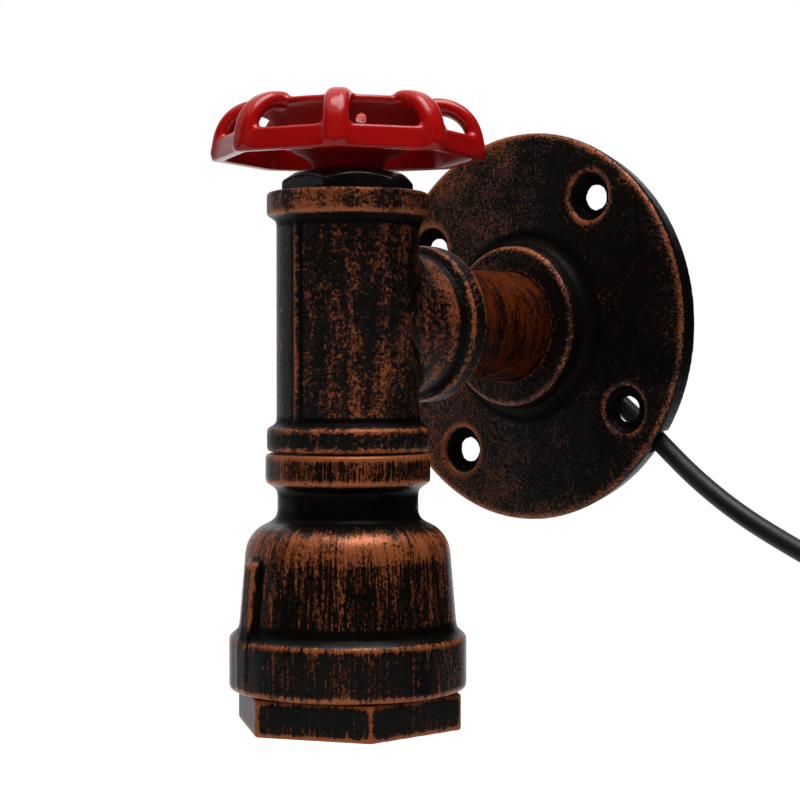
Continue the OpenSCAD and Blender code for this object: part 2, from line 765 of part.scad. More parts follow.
module knuckle_bar() {
    translate([bar_foot_r, 0, 0])
    rotate([0, -rim_lean, 0])
    translate([0, 0, bar_foot_h])
        linear_extrude(rim_band_h / cos(rim_lean) - bar_foot_h + bar_lap) bar_section(bar_t + bar_step);
    translate([bar_bend_c.x, 0, bar_bend_c.y])
    rotate([90, 0, 0])
    rotate(rim_lean)
    rotate_extrude(angle = 90 - rim_lean) translate([bar_bend_r, 0]) bar_section(bar_t);
    translate([bar_bend_c.x + bar_lap, 0, bar_top_h])
    rotate([0, -90, 0]) linear_extrude(bar_stub + bar_lap) bar_section(bar_t + bar_step);
}

// Rounded section of a knuckle bar, thin along X; the straight ends are a little thicker than the bend
module bar_section(t) {
    flat = bar_w - bar_t;
    square([t, flat], center = true);
    for (side = [-1, 1])
        translate([0, side * flat / 2]) circle(d = t);
}

module wheel_washer() {
    color(steel)
    on_tee_axis(wheel_seat_z)
    difference() {
        cylinder(r = washer_r, h = washer_t);
        translate([0, 0, -cut]) cylinder(d = stem_thread_d + 2 * washer_gap, h = washer_t + 2 * cut);
    }
}

module wheel_nut() {
    color(steel)
    on_tee_axis(wheel_seat_z + washer_t)
    facing(wheel_turn_rest)
    difference() {
        hex_sloped(wheel_nut_af, wheel_nut_h, 2 * nut_slope_h, nut_slope_h);
        translate([0, 0, -cut]) cylinder(d = stem_thread_d + 2 * thread_gap, h = wheel_nut_h + 2 * cut);
    }
}

module holder_plate() {
    color(steel)
    on_tee_axis(plate_seat)
    difference() {
        cylinder(r = socket_r - seat_gap, h = holder_plate_t);
        translate([0, 0, -cut]) cylinder(r = tube_r + thread_gap, h = holder_plate_t + 2 * cut);
    }
}

module lamp_tube() {
    low = cap_top - tube_engage;
    color(brass)
    on_tee_axis(low)
    difference() {
        cylinder(r = tube_r, h = tube_top - low);
        translate([0, 0, -cut]) cylinder(d = tube_bore, h = tube_top - low + 2 * cut);
    }
}

module tube_nuts() {
    color(brass)
    for (z = [plate_seat + holder_plate_t, plate_seat - tube_nut_h])
        on_tee_axis(z)
        difference() {
            hex_prism(tube_nut_af, tube_nut_h);
            translate([0, 0, -cut]) cylinder(r = tube_r + thread_gap, h = tube_nut_h + 2 * cut);
        }
}

// Domed upper shell of the lampholder, screwed on the tube
module lampholder_cap() {
    neck_r = tube_r + cap_neck_w;
    inner_r = holder_r - cap_wall;
    color(phenolic)
    on_tee_axis(sleeve_top)
    rotate_extrude()
    polygon([[holder_r, 0], [holder_r, cap_rim_h], [neck_r, cap_h], [tube_r + thread_gap, cap_h],
        [tube_r + thread_gap, cap_h - tube_engage], [inner_r, core_top - sleeve_top + 1],
        [inner_r, 0]]);
}

// Terminal block between the cap and the sleeve
module lampholder_core() {
    color(ceramic)
    on_tee_axis(core_end)
    cylinder(r = sleeve_bore_r - seat_gap, h = core_t);
}

module lampholder_sleeve() {
    color(phenolic)
    on_tee_axis(lip_z)
    difference() {
        cylinder(r = holder_r, h = sleeve_len);
        translate([0, 0, -cut]) cylinder(r = sleeve_bore_r, h = sleeve_len + 2 * cut);
    }
}

module screw_shell() {
    color(brass)
    on_tee_axis(core_end - shell_len)
    difference() {
        cylinder(r = shell_r + shell_wall, h = shell_len);
        translate([0, 0, -cut]) cylinder(r = shell_r, h = shell_len + cut);
        translate([0, 0, shell_len - shell_collar_len]) cylinder(r = shell_collar_r, h = shell_len);
    }
}

module centre_contact() {
    color(brass)
    on_tee_axis(core_end)
    rotate([180, 0, 0])
    union() {
        cylinder(r = contact_r, h = contact_t);
        translate([0, 0, contact_t])
            cylinder(r1 = contact_tip_r[0], r2 = contact_tip_r[1], h = contact_tip_h);
    }
}

module terminal_screws() {
    color(steel)
    for (side = [-1, 1])
        on_tee_axis(core_top)
        translate([side * terminal_screw_x, 0, 0])
        difference() {
            cylinder(r = terminal_screw_r, h = terminal_screw_h);
            translate([-terminal_screw_r, -screw_slot_w / 2, terminal_screw_h - screw_slot_depth])
                cube([2 * terminal_screw_r, screw_slot_w, screw_slot_depth + cut]);
        }
}

// Moulded grip that fills the pipe's bore and tapers along the cord
module cord_grip() {
    head = grip_end - grip_len;
    color(nylon)
    out_of_wall()
    union() {
        translate([0, 0, head]) cylinder(r = grip_head_r, h = grip_len);
        translate([0, 0, grip_tail_end])
            cylinder(r1 = cord_r + cord_sleeve_w, r2 = cord_r + grip_taper_w, h = head - grip_tail_end);
    }
}

module wire_live() {
    color(wheel_red) tube_along(live_points, wire_r, 8, [1, 0.1, 0]);
}

module wire_switched() {
    color(wheel_red) tube_along(switched_points, wire_r, 8, [0, 1, 0]);
}

module wire_neutral() {
    color([0.15, 0.3, 0.6]) tube_along(neutral_points, wire_r, 8, [0.3, 1, 1]);
}

module cord() {
    color(cord_black) tube_along(lead_points, cord_r, 10, [0.58, 0, 0.81]);
}

module cord_coil() {
    color(cord_black) tube_along(coil_points, cord_r, 6, [0, 1, 0]);
}

module cord_tail() {
    color(cord_black) tube_along(tail_points, cord_r, 10, [0.3, 1, 0.3]);
}

// Strap round the bundle of turns, at the bottom of the coil
module coil_tie() {
    bundle = [coil_r - coil_inner_r + cord_d + 2 * tie_gap, coil_y - coil_front + cord_d + 2 * tie_gap];
    color(nylon)
    translate([coil_x, (coil_y + coil_front) / 2, coil_z - (coil_r + coil_inner_r) / 2])
    rotate([0, 90, 0])
    linear_extrude(tie_w, center = true)
    difference() {
        square(bundle + 2 * tie_t * [1, 1], center = true);
        square(bundle, center = true);
    }
}

// Flat two-pin plug that narrows to the cord
module plug_body() {
    color(cord_black)
    translate([plug_axis_x, plug_axis_y, 0])
    union() {
        translate([0, 0, plug_body_z])
            cylinder(r1 = cord_r + plug_taper_w, r2 = cord_r + cord_sleeve_w, h = plug_taper_len);
        hull() {
            translate([0, 0, plug_face_z])
                linear_extrude(plug_full_len) plug_outline(mains_plug_w, mains_plug_t);
            translate([0, 0, plug_body_z - 1]) linear_extrude(1) plug_outline(plug_neck_w, plug_neck_t);
        }
    }
}

module plug_outline(w, t) {
    for (x = [-1, 1], y = [-1, 1])
        translate([x * (w / 2 - plug_corner_r), y * (t / 2 - plug_corner_r)])
            circle(r = plug_corner_r, $fn = 32);
}

module plug_pins() {
    color(brass)
    for (side = [-1, 1])
        translate([plug_axis_x + side * pin_pitch / 2, plug_axis_y, plug_face_z - pin_len])
        cylinder(d = pin_d, h = pin_len);
}

wall_flange();
pipe_nipple();
pipe_tee();
close_nipple();
bell_reducer();
hex_bushing();
bonnet_plug();
switch_housing();
switch_base();
switch_terminals();
switch_rotor();
switch_nut();
valve_stem();
handwheel();
wheel_washer();
wheel_nut();
holder_plate();
lamp_tube();
tube_nuts();
lampholder_cap();
lampholder_core();
lampholder_sleeve();
screw_shell();
centre_contact();
terminal_screws();
cord_grip();
wire_live();
wire_switched();
wire_neutral();
cord();
cord_coil();
cord_tail();
coil_tie();
plug_body();
plug_pins();
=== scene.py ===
"""Looks of a pipe wall light: black castings rubbed through to copper, a red handwheel and a cord."""

import json
import logging
import math
from collections.abc import Mapping, Sequence
from dataclasses import dataclass, field
from enum import Enum

import bmesh
import bpy
import numpy as np
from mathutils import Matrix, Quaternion, Vector


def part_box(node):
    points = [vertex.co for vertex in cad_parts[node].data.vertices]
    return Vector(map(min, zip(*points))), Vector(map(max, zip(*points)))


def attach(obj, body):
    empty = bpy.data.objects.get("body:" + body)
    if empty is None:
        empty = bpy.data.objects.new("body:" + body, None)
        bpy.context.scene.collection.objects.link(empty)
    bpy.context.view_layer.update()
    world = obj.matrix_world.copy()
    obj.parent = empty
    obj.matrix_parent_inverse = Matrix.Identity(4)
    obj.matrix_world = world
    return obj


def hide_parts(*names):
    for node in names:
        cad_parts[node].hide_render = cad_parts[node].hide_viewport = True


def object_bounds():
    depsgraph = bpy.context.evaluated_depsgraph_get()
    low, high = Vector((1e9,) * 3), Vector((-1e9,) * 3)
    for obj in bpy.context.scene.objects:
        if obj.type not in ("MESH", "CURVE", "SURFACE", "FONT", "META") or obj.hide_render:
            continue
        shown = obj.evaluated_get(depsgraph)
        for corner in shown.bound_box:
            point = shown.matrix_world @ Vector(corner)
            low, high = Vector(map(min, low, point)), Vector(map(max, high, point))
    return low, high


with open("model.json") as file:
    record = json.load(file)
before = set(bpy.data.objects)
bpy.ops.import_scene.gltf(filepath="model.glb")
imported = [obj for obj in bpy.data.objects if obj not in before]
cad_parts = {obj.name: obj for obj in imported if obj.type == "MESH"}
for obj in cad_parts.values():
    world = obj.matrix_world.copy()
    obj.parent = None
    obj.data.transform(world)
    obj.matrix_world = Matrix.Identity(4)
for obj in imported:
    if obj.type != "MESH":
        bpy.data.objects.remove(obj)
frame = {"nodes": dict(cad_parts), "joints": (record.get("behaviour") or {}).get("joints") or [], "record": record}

LOG = logging.getLogger("pipe_wall_light")
Colour = tuple[float, float, float]
Point = tuple[float, float, float]
Span = tuple[float, float]
Socket = bpy.types.NodeSocket
Setting = float | Colour | Socket
Inputs = Mapping[str | int, Setting]

# Sizes are metres, as in the frame, and MM turns millimetres into them
MM = 0.001
CAD_LOW, CAD_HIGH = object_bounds()
TEE_AXIS = Vector(frame["joints"][0]["pos_m"]) * Vector((1, 1, 0))
# Brush strokes on turned pieces are as wide as they would be at this radius
STROKE_R = 20 * MM
# Points of a solid that lie closer than this are one point
WELD = 0.0005 * MM
# The way to the right of the picture, along X and Y
PICTURE_RIGHT: Span = (0.73, 0.68)
WHITE: Colour = (1.0, 1.0, 1.0)


class Body(str, Enum):
    """The bodies that pieces ride on."""

    LIGHT = "light"
    WHEEL = "wheel"


class Slot(str, Enum):
    """The record's material slots."""

    CASTING = "rubbed_casting"
    PIPE = "rubbed_pipe"
    BLACK = "black_enamel"
    RED = "red_enamel"
    STEEL = "plated_steel"
    BRASS = "brass"
    NYLON = "nylon"
    PHENOLIC = "phenolic"
    CERAMIC = "ceramic"
    RED_WIRE = "red_wire"
    BLUE_WIRE = "blue_wire"
    SHEATH = "cord_sheath"
    MOULDING = "plug_moulding"


class Shader:
    """Adds and links nodes in one node tree."""

    def __init__(self, tree: bpy.types.NodeTree) -> None:
        """Starts on an empty tree."""
        self.tree = tree

    def feed(self, node: bpy.types.Node, inputs: Inputs) -> None:
        """Links or sets the inputs of a node.

        Args:
            node: The node.
            inputs: Values or sockets by input name or number.
        """
        for key, value in inputs.items():
            socket = node.inputs[key]
            if isinstance(value, Socket):
                self.tree.links.new(value, socket)
            elif isinstance(value, tuple) and socket.type == "RGBA":
                socket.default_value = (*value, 1.0)
            else:
                socket.default_value = value

    def add(self, kind: str, inputs: Inputs | None = None, **props: object) -> bpy.types.Node:
        """Adds a node, sets its properties and links or sets its inputs.

        Args:
            kind: The node's type, such as ShaderNodeMath.
            inputs: Values or sockets by input name or number.
            props: Properties of the node.

        Returns:
            The new node.
        """
        node = self.tree.nodes.new(kind)
        for name, value in props.items():
            setattr(node, name, value)
        self.feed(node, inputs or {})
        return node

    def group(self, tree: bpy.types.NodeTree, inputs: Inputs | None = None) -> bpy.types.Node:
        """Adds a node group and returns its node."""
        return self.add("ShaderNodeGroup", inputs, node_tree=tree)

    def math(self, operation: str, a: Setting, b: Setting = 0.0, clamp: bool = False) -> Socket:
        """Returns the result of one sum on two values."""
        return self.add("ShaderNodeMath", {0: a, 1: b}, operation=operation, use_clamp=clamp).outputs[0]

    def vector(self, operation: str, a: Setting, b: Setting = (0.0, 0.0, 0.0)) -> Socket:
        """Returns the result of one sum on two vectors."""
        return self.add("ShaderNodeVectorMath", {0: a, 1: b}, operation=operation).outputs[0]

    def scale(self, vector: Setting, factor: Setting) -> Socket:
        """Returns a vector times a value."""
        return self.add("ShaderNodeVectorMath", {0: vector, "Scale": factor}, operation="SCALE").outputs[0]

    def step(self, value: Setting, low: Setting, high: Setting, to: Span = (0.0, 1.0)) -> Socket:
        """Returns a smooth step of a value between two limits.

        Args:
            value: The value to map.
            low: Where the step starts.
            high: Where the step ends.
            to: The results at the two limits.

        Returns:
            The mapped value.
        """
        inputs = {"Value": value, "From Min": low, "From Max": high, "To Min": to[0], "To Max": to[1]}
        return self.add("ShaderNodeMapRange", inputs, interpolation_type="SMOOTHSTEP").outputs["Result"]

    def mix(self, share: Setting, a: Setting, b: Setting) -> Socket:
        """Returns a mix of two colours."""
        return self.add("ShaderNodeMix", {0: share, 6: a, 7: b}, data_type="RGBA").outputs[2]

    def blend(self, share: Setting, a: Setting, b: Setting) -> Socket:
        """Returns a mix of two values."""
        return self.add("ShaderNodeMix", {0: share, 2: a, 3: b}, data_type="FLOAT").outputs[0]

    def between(self, share: Setting, a: Setting, b: Setting) -> Socket:
        """Returns a vector between two vectors."""
        return self.add("ShaderNodeMix", {0: share, 4: a, 5: b}, data_type="VECTOR").outputs[1]

    def noise(self, vector: Setting, scale: Setting, detail: float = 4.0, rough: float = 0.55) -> Socket:
        """Returns the grey value of a noise texture."""
        inputs = {"Vector": vector, "Scale": scale, "Detail": detail, "Roughness": rough}
        return self.add("ShaderNodeTexNoise", inputs).outputs["Fac"]

    def place(self, stretch: Setting = (1.0, 1.0, 1.0)) -> Socket:
        """Returns object coordinates, times a factor along each axis."""
        return self.vector("MULTIPLY", self.add("ShaderNodeTexCoord").outputs["Object"], stretch)

    def rub(self) -> Socket:
        """Returns the piece's rub attribute."""
        return self.add("ShaderNodeAttribute", attribute_name="rub").outputs["Fac"]


def new_group(name: str, inputs: Sequence[tuple[str, str, object]], outputs: Sequence[str]
              ) -> tuple[Shader, bpy.types.Node, bpy.types.Node]:
    """Starts a shader node group whose outputs are all values.

    Args:
        name: The group's name.
        inputs: Name, socket type and default value of each input.
        outputs: Names of the outputs.

    Returns:
        The group's builder, its input node and its output node.
    """
    tree = bpy.data.node_groups.new(name, "ShaderNodeTree")
    for label, kind, default in inputs:
        tree.interface.new_socket(label, in_out="INPUT", socket_type=kind).default_value = default
    for label in outputs:
        tree.interface.new_socket(label, in_out="OUTPUT", socket_type="NodeSocketFloat")
    shader = Shader(tree)
    return shader, shader.add("NodeGroupInput"), shader.add("NodeGroupOutput")


def cast_grain_group() -> bpy.types.NodeTree:
    """Builds the sandy grain and the pits of a casting.

    Returns:
        A group that gives a grain value, pits and a height.
    """
    shader, source, result = new_group(
        "Cast grain", [("Scale", "NodeSocketFloat", 1.0)], ["Grain", "Pits", "Height"])
    place = shader.scale(shader.place(), source.outputs["Scale"])
    fine = shader.noise(place, scale=1300.0, detail=4.0, rough=0.62)
    coarse = shader.noise(place, scale=260.0, detail=3.0, rough=0.5)
    cells = shader.add("ShaderNodeTexVoronoi", {"Vector": place, "Scale": 620.0}).outputs["Distance"]
    pits = shader.step(cells, low=0.16, high=0.34, to=(1.0, 0.0))
    scattered = shader.math("MULTIPLY", pits, shader.step(coarse, low=0.5, high=0.62))
    height = shader.math("SUBTRACT", shader.math("ADD", fine, coarse), scattered)
    shader.feed(result, {"Grain": fine, "Pits": scattered, "Height": height})
    return shader.tree


def rub_through_group() -> bpy.types.NodeTree:
    """Builds the mask of paint rubbed through to copper.

    The strokes run along straight axes, or straight up and outwards from an upright axis where Round is 1.

    Returns:
        A group that gives the copper mask and how thick the copper lies.
    """
    shader, source, result = new_group(
        "Rub through",
        [("Rub", "NodeSocketFloat", 0.0), ("Cover", "NodeSocketFloat", 0.2),
         ("Stretch", "NodeSocketVector", (1.0, 1.0, 1.0)), ("Speck", "NodeSocketFloat", 500.0),
         ("Round", "NodeSocketFloat", 0.0), ("Grain share", "NodeSocketFloat", 0.3),
         ("Cloud share", "NodeSocketFloat", 0.26), ("Cloud stretch", "NodeSocketVector", (1.0, 1.0, 0.22)),
         ("Softness", "NodeSocketFloat", 0.06)],
        ["Copper", "Thickness"])
    short_share = 0.45
    shortening = 0.25
    short_speck = 1.6
    middle = 0.5
    contrast = 2.4
    edge_without_rub = 0.75
    edge_per_rub = 0.5
    copper_depth = 0.24
    given = source.outputs
    plain = shader.vector("SUBTRACT", shader.place(), tuple(TEE_AXIS))
    outwards = shader.vector("NORMALIZE", shader.vector("MULTIPLY", plain, (1.0, 1.0, 0.0)))
    rise = shader.vector("MULTIPLY", plain, (0.0, 0.0, 1.0))
    turned = shader.vector("ADD", shader.vector("MULTIPLY", outwards, (STROKE_R, STROKE_R, 0.0)), rise)
    chosen = shader.between(given["Round"], plain, turned)
    place = shader.vector("MULTIPLY", chosen, given["Stretch"])
    shorter = shader.between(shortening, place, chosen)
    long_strokes = shader.noise(place, given["Speck"], detail=3.0, rough=0.6)
    finer = shader.math("MULTIPLY", given["Speck"], short_speck)
    short_strokes = shader.noise(shorter, finer, detail=3.0, rough=0.6)
    strokes = shader.blend(short_share, long_strokes, short_strokes)
    grain = shader.noise(plain, scale=1900.0, detail=1.0, rough=0.5)
    wide = shader.vector("MULTIPLY", plain, given["Cloud stretch"])
    clouds = shader.noise(wide, scale=300.0, detail=2.0, rough=0.5)
    mixed = shader.blend(given["Cloud share"], shader.blend(given["Grain share"], strokes, grain), clouds)
    off_middle = shader.math("MULTIPLY", shader.math("SUBTRACT", mixed, middle), contrast)
    spread = shader.math("ADD", off_middle, middle)
    amount = shader.math("ADD", given["Rub"], given["Cover"])
    edge = shader.math("SUBTRACT", edge_without_rub, shader.math("MULTIPLY", amount, edge_per_rub))
    low = shader.math("SUBTRACT", edge, given["Softness"])
    high = shader.math("ADD", edge, given["Softness"])
    thick = shader.step(spread, edge, shader.math("ADD", edge, copper_depth))
    shader.feed(result, {"Copper": shader.step(spread, low, high), "Thickness": thick})
    return shader.tree


def smudge_group() -> bpy.types.NodeTree:
    """Builds soft smudges that vary colour and gloss a little.

    Returns:
        A group that gives a slow smudge and fine scuffs.
    """
    shader, source, result = new_group(
        "Smudge", [("Scale", "NodeSocketFloat", 1.0), ("Stretch", "NodeSocketVector", (1.0, 1.0, 1.0))],
        ["Smudge", "Scuffs"])
    place = shader.scale(shader.place(source.outputs["Stretch"]), source.outputs["Scale"])
    smudge = shader.step(shader.noise(place, scale=70.0), low=0.3, high=0.7)
    scuffs = shader.step(shader.noise(place, scale=1400.0, rough=0.65), low=0.35, high=0.7)
    shader.feed(result, {"Smudge": smudge, "Scuffs": scuffs})
    return shader.tree


CAST_GRAIN = cast_grain_group()
RUB_THROUGH = rub_through_group()
SMUDGE = smudge_group()


def new_material(name: str) -> tuple[bpy.types.Material, Shader, bpy.types.Node]:
    """Starts a material with one Principled shader.

    Args:
        name: The material's name.

    Returns:
        The material, its builder and its shader node.
    """
    material = bpy.data.materials.new(name)
    material.use_nodes = True
    material.node_tree.nodes.clear()
    shader = Shader(material.node_tree)
    principled = shader.add("ShaderNodeBsdfPrincipled")
    shader.add("ShaderNodeOutputMaterial", {"Surface": principled.outputs[0]})
    return material, shader, principled


@dataclass(frozen=True)
class RubbedFinish:
    """Black paint on a casting, rubbed through to copper on edges and in brush strokes."""

    name: str
    cover: float = 0.2
    stretch: Point = (1.0, 1.0, 1.0)
    speck: float = 800.0
    turned: bool = False
    grain_share: float = 0.3
    cloud_share: float = 0.26
    cloud_stretch: Point = (1.0, 1.0, 0.22)
    softness: float = 0.05
    grain: float = 1.0
    grain_depth: float = 0.12 * MM
    grain_bump: float = 0.8
    grain_rough: float = 0.16
    paint: Colour = (0.003, 0.0026, 0.0022)
    worn_paint: Colour = (0.0055, 0.0042, 0.0034)
    paint_rough: float = 0.2
    dark_rub: Span = (-0.5, 0.0)
    shine: Span = (0.03, 0.15)
    copper: Colour = (0.38, 0.108, 0.037)
    thin_copper: Colour = (0.09, 0.021, 0.007)
    copper_metallic: float = 0.2
    copper_height: float = 0.4

    def material(self) -> bpy.types.Material:
        """Builds the finish.

        Returns:
            The new material, which reads the piece's rub attribute.
        """
        material, shader, principled = new_material(self.name)
        rub = shader.rub()
        mask = shader.group(RUB_THROUGH, {
            "Rub": rub, "Cover": self.cover, "Stretch": self.stretch, "Speck": self.speck,
            "Round": float(self.turned), "Grain share": self.grain_share, "Cloud share": self.cloud_share,
            "Cloud stretch": self.cloud_stretch, "Softness": self.softness})
        grain = shader.group(CAST_GRAIN, {"Scale": self.grain})
        smudge = shader.group(SMUDGE)
        paint = shader.mix(smudge.outputs["Smudge"], self.paint, self.worn_paint)
        copper = shader.mix(mask.outputs["Thickness"], self.thin_copper, self.copper)
        unpitted = shader.math("SUBTRACT", 1.0, grain.outputs["Pits"])
        pitted = shader.math("MULTIPLY", mask.outputs["Copper"], unpitted, clamp=True)
        grit = shader.math("MULTIPLY", grain.outputs["Grain"], self.grain_rough)
        layer = shader.math("MULTIPLY", pitted, self.copper_height)
        bump = shader.add("ShaderNodeBump", {
            "Height": shader.math("ADD", grain.outputs["Height"], layer),
            "Strength": self.grain_bump, "Distance": self.grain_depth})
        shader.feed(principled, {
            "Base Color": shader.mix(pitted, paint, copper),
            "Roughness": shader.math("ADD", self.paint_rough, grit),
            "Metallic": shader.math("MULTIPLY", pitted, self.copper_metallic),
            "Normal": bump.outputs[0],
            "Specular IOR Level": shader.step(rub, *self.dark_rub, self.shine)})
        return material


@dataclass(frozen=True)
class EnamelFinish:
    """Thick gloss enamel on a casting, with painted shade in its hollows, where it is also duller."""

    name: str
    colour: Colour
    painted_shade_colour: Colour
    open_rub: Span = (0.0, 0.5)
    smudge_share: float = 0.2
    rough: Span = (0.6, 0.19)
    scuff_rough: float = 0.05
    shine: Span = (0.08, 0.28)
    grain: float = 0.35
    ripple: float = 0.025 * MM
    ripple_bump: float = 0.5

    def material(self) -> bpy.types.Material:
        """Builds the finish.

        Returns:
            The new material, which reads the piece's rub attribute.
        """
        material, shader, principled = new_material(self.name)
        smudge = shader.group(SMUDGE)
        grain = shader.group(CAST_GRAIN, {"Scale": self.grain})
        # The hollows get the painted shade colour, and more roughness and less shine
        openness = shader.step(shader.rub(), *self.open_rub)
        open_share = shader.math("MULTIPLY", openness, 1 - self.smudge_share)
        smudged = shader.math("MULTIPLY", smudge.outputs["Smudge"], self.smudge_share)
        share = shader.math("ADD", open_share, smudged, clamp=True)
        scuffs = shader.math("MULTIPLY", smudge.outputs["Scuffs"], self.scuff_rough)
        bump = shader.add("ShaderNodeBump", {
            "Height": grain.outputs["Height"], "Strength": self.ripple_bump, "Distance": self.ripple})
        shader.feed(principled, {
            "Base Color": shader.mix(share, self.painted_shade_colour, self.colour),
            "Roughness": shader.math("ADD", shader.step(openness, 0.0, 1.0, self.rough), scuffs),
            "Normal": bump.outputs[0],
            "Specular IOR Level": shader.step(openness, 0.0, 1.0, self.shine)})
        return material


@dataclass(frozen=True)
class PlainFinish:
    """A metal, plastic, ceramic or rubber with smudges, scuffs and fine grain."""

    name: str
    colour: Colour
    worn_colour: Colour
    metallic: float = 0.0
    rough: Span = (0.3, 0.5)
    stretch: Point = (1.0, 1.0, 1.0)
    grain_depth: float = 0.02 * MM
    grain_bump: float = 0.5
    shine: float = 0.5

    def material(self) -> bpy.types.Material:
        """Builds the finish.

        Returns:
            The new material.
        """
        material, shader, principled = new_material(self.name)
        smudge = shader.group(SMUDGE, {"Stretch": self.stretch})
        both = shader.math("ADD", smudge.outputs["Smudge"], smudge.outputs["Scuffs"])
        bump = shader.add("ShaderNodeBump", {
            "Height": smudge.outputs["Scuffs"], "Strength": self.grain_bump, "Distance": self.grain_depth})
        shader.feed(principled, {
            "Base Color": shader.mix(smudge.outputs["Smudge"], self.colour, self.worn_colour),
            "Roughness": shader.step(shader.math("MULTIPLY", both, 0.5), 0.0, 1.0, self.rough),
            "Normal": bump.outputs[0],
            "Metallic": self.metallic,
            "Specular IOR Level": self.shine})
        return material


Finish = RubbedFinish | EnamelFinish | PlainFinish

FINISHES: dict[Slot, PlainFinish] = {
    Slot.BLACK: PlainFinish(
        "black enamel", (0.008, 0.008, 0.009), (0.012, 0.011, 0.011), rough=(0.16, 0.3), shine=0.3),
    Slot.STEEL: PlainFinish("plated steel", (0.62, 0.62, 0.6), (0.48, 0.46, 0.42), 1.0, (0.25, 0.42)),
    Slot.BRASS: PlainFinish("brass", (0.72, 0.49, 0.17), (0.56, 0.36, 0.12), 1.0, (0.22, 0.4)),
    Slot.NYLON: PlainFinish("nylon", (0.02, 0.02, 0.021), (0.03, 0.03, 0.03), rough=(0.45, 0.6)),
    Slot.PHENOLIC: PlainFinish(
        "phenolic moulding", (0.018, 0.013, 0.011), (0.03, 0.022, 0.018), rough=(0.28, 0.45)),
    Slot.CERAMIC: PlainFinish("glazed ceramic", (0.8, 0.78, 0.72), (0.72, 0.68, 0.6), rough=(0.15, 0.3)),
    Slot.RED_WIRE: PlainFinish("red wire", (0.4, 0.1, 0.04), (0.3, 0.08, 0.035), rough=(0.35, 0.5)),
    Slot.BLUE_WIRE: PlainFinish("blue wire", (0.03, 0.12, 0.42), (0.03, 0.1, 0.34), rough=(0.35, 0.5)),
    Slot.SHEATH: PlainFinish(
        "cord sheath", (0.009, 0.009, 0.0095), (0.014, 0.014, 0.015), rough=(0.34, 0.5), shine=0.2),
    Slot.MOULDING: PlainFinish(
        "plug moulding", (0.011, 0.011, 0.012), (0.017, 0.017, 0.017), rough=(0.3, 0.46), shine=0.3),
}


class Surface:
    """The points of a mesh and their neighbours, as arrays."""

    # Shares of a move towards the neighbours that fill an inner corner, out of the surface and along it
    FILL_OUT = 0.9
    FILL_ALONG = 0.4
    # Moves between two readings of the normals
    NORMALS_EVERY = 6
    # Neighbours of a point on an even mesh
    NEIGHBOURS = 4

    def __init__(self, mesh: bpy.types.Mesh) -> None:
        """Reads the points and edges of a mesh."""
        self.mesh = mesh
        self.count = len(mesh.vertices)
        self.points = np.empty(self.count * 3)
        mesh.vertices.foreach_get("co", self.points)
        self.points = self.points.reshape(-1, 3)
        links = np.empty(len(mesh.edges) * 2, dtype=np.int64)
        mesh.edges.foreach_get("vertices", links)
        self.ends = links.reshape(-1, 2)
        self.degree = np.maximum(np.bincount(links, minlength=self.count), 1)

    def average(self, values: np.ndarray) -> np.ndarray:
        """Averages a value over the neighbours of each point.

        Args:
            values: One value or one row for each point.

        Returns:
            The averages, in the same shape.
        """
        rows = values.reshape(self.count, -1)
        first, second = self.ends.T
        sums = np.stack([
            np.bincount(first, column[second], self.count) + np.bincount(second, column[first], self.count)
            for column in rows.T], axis=1)
        return (sums / self.degree[:, None]).reshape(values.shape)

    def normals(self) -> np.ndarray:
        """Writes the points back and returns the mesh's vertex normals."""
        self.mesh.vertices.foreach_set("co", self.points.ravel())
        self.mesh.update()
        normals = np.empty(self.count * 3, dtype=np.float32)
        self.mesh.vertex_normals.foreach_get("vector", normals)
        return normals.reshape(-1, 3).astype(float)

    def fill(self, steps: int, where: np.ndarray) -> None:
        """Fills inner corners with fillets and leaves outer edges as they are.

        Args:
            steps: How many times each point moves.
            where: How much of each move a point makes.
        """
        share = where[:, None]
        for turn in range(steps):
            if turn % self.NORMALS_EVERY == 0:
                normals = self.normals()
            pull = self.average(self.points) - self.points
            along = (pull * normals).sum(axis=1, keepdims=True)
            outwards = self.FILL_OUT * np.maximum(along, 0) * normals
            self.points += share * (outwards + self.FILL_ALONG * (pull - along * normals))

    def smooth(self, steps: int) -> None:
        """Moves each point half way to its neighbours' average, some times."""
        for _ in range(steps):
            self.points += 0.5 * (self.average(self.points) - self.points)

    def bend(self, spread: int) -> np.ndarray:
        """Measures how sharply the surface bends outwards.

        Args:
            spread: How many times the result is averaged over neighbours.

        Returns:
            The sum of both curvatures at each point, per millimetre.
        """
        normals = self.normals()
        lengths = np.linalg.norm(self.points[self.ends[:, 0]] - self.points[self.ends[:, 1]], axis=1)
        pull = ((self.average(self.points) - self.points) * normals).sum(axis=1)
        value = -self.NEIGHBOURS * pull / np.mean(lengths) ** 2 * MM
        for _ in range(spread):
            value = 0.5 * value + 0.5 * self.average(value)
        return value

    def write(self, name: str, values: np.ndarray) -> None:
        """Stores one value for each point as an attribute."""
        attribute = self.mesh.attributes.new(name, "FLOAT", "POINT")
        attribute.data.foreach_set("value", values.astype(np.float32))


def ramp(values: np.ndarray, low: float, high: float) -> np.ndarray:
    """Returns a smooth step of values between two limits, which may run either way."""
    share = np.clip((values - low) / (high - low), 0.0, 1.0)
    return share * share * (3 - 2 * share)


def band(values: np.ndarray, low: float, high: float, soft: float) -> np.ndarray:
    """Returns 1 between two limits, with soft ends."""
    return ramp(values, low - soft, low + soft) * (1 - ramp(values, high - soft, high + soft))


def put_in_scene(name: str, data: bpy.types.ID) -> bpy.types.Object:
    """Links a new object to the scene and returns it."""
    item = bpy.data.objects.new(name, data)
    bpy.context.scene.collection.objects.link(item)
    return item


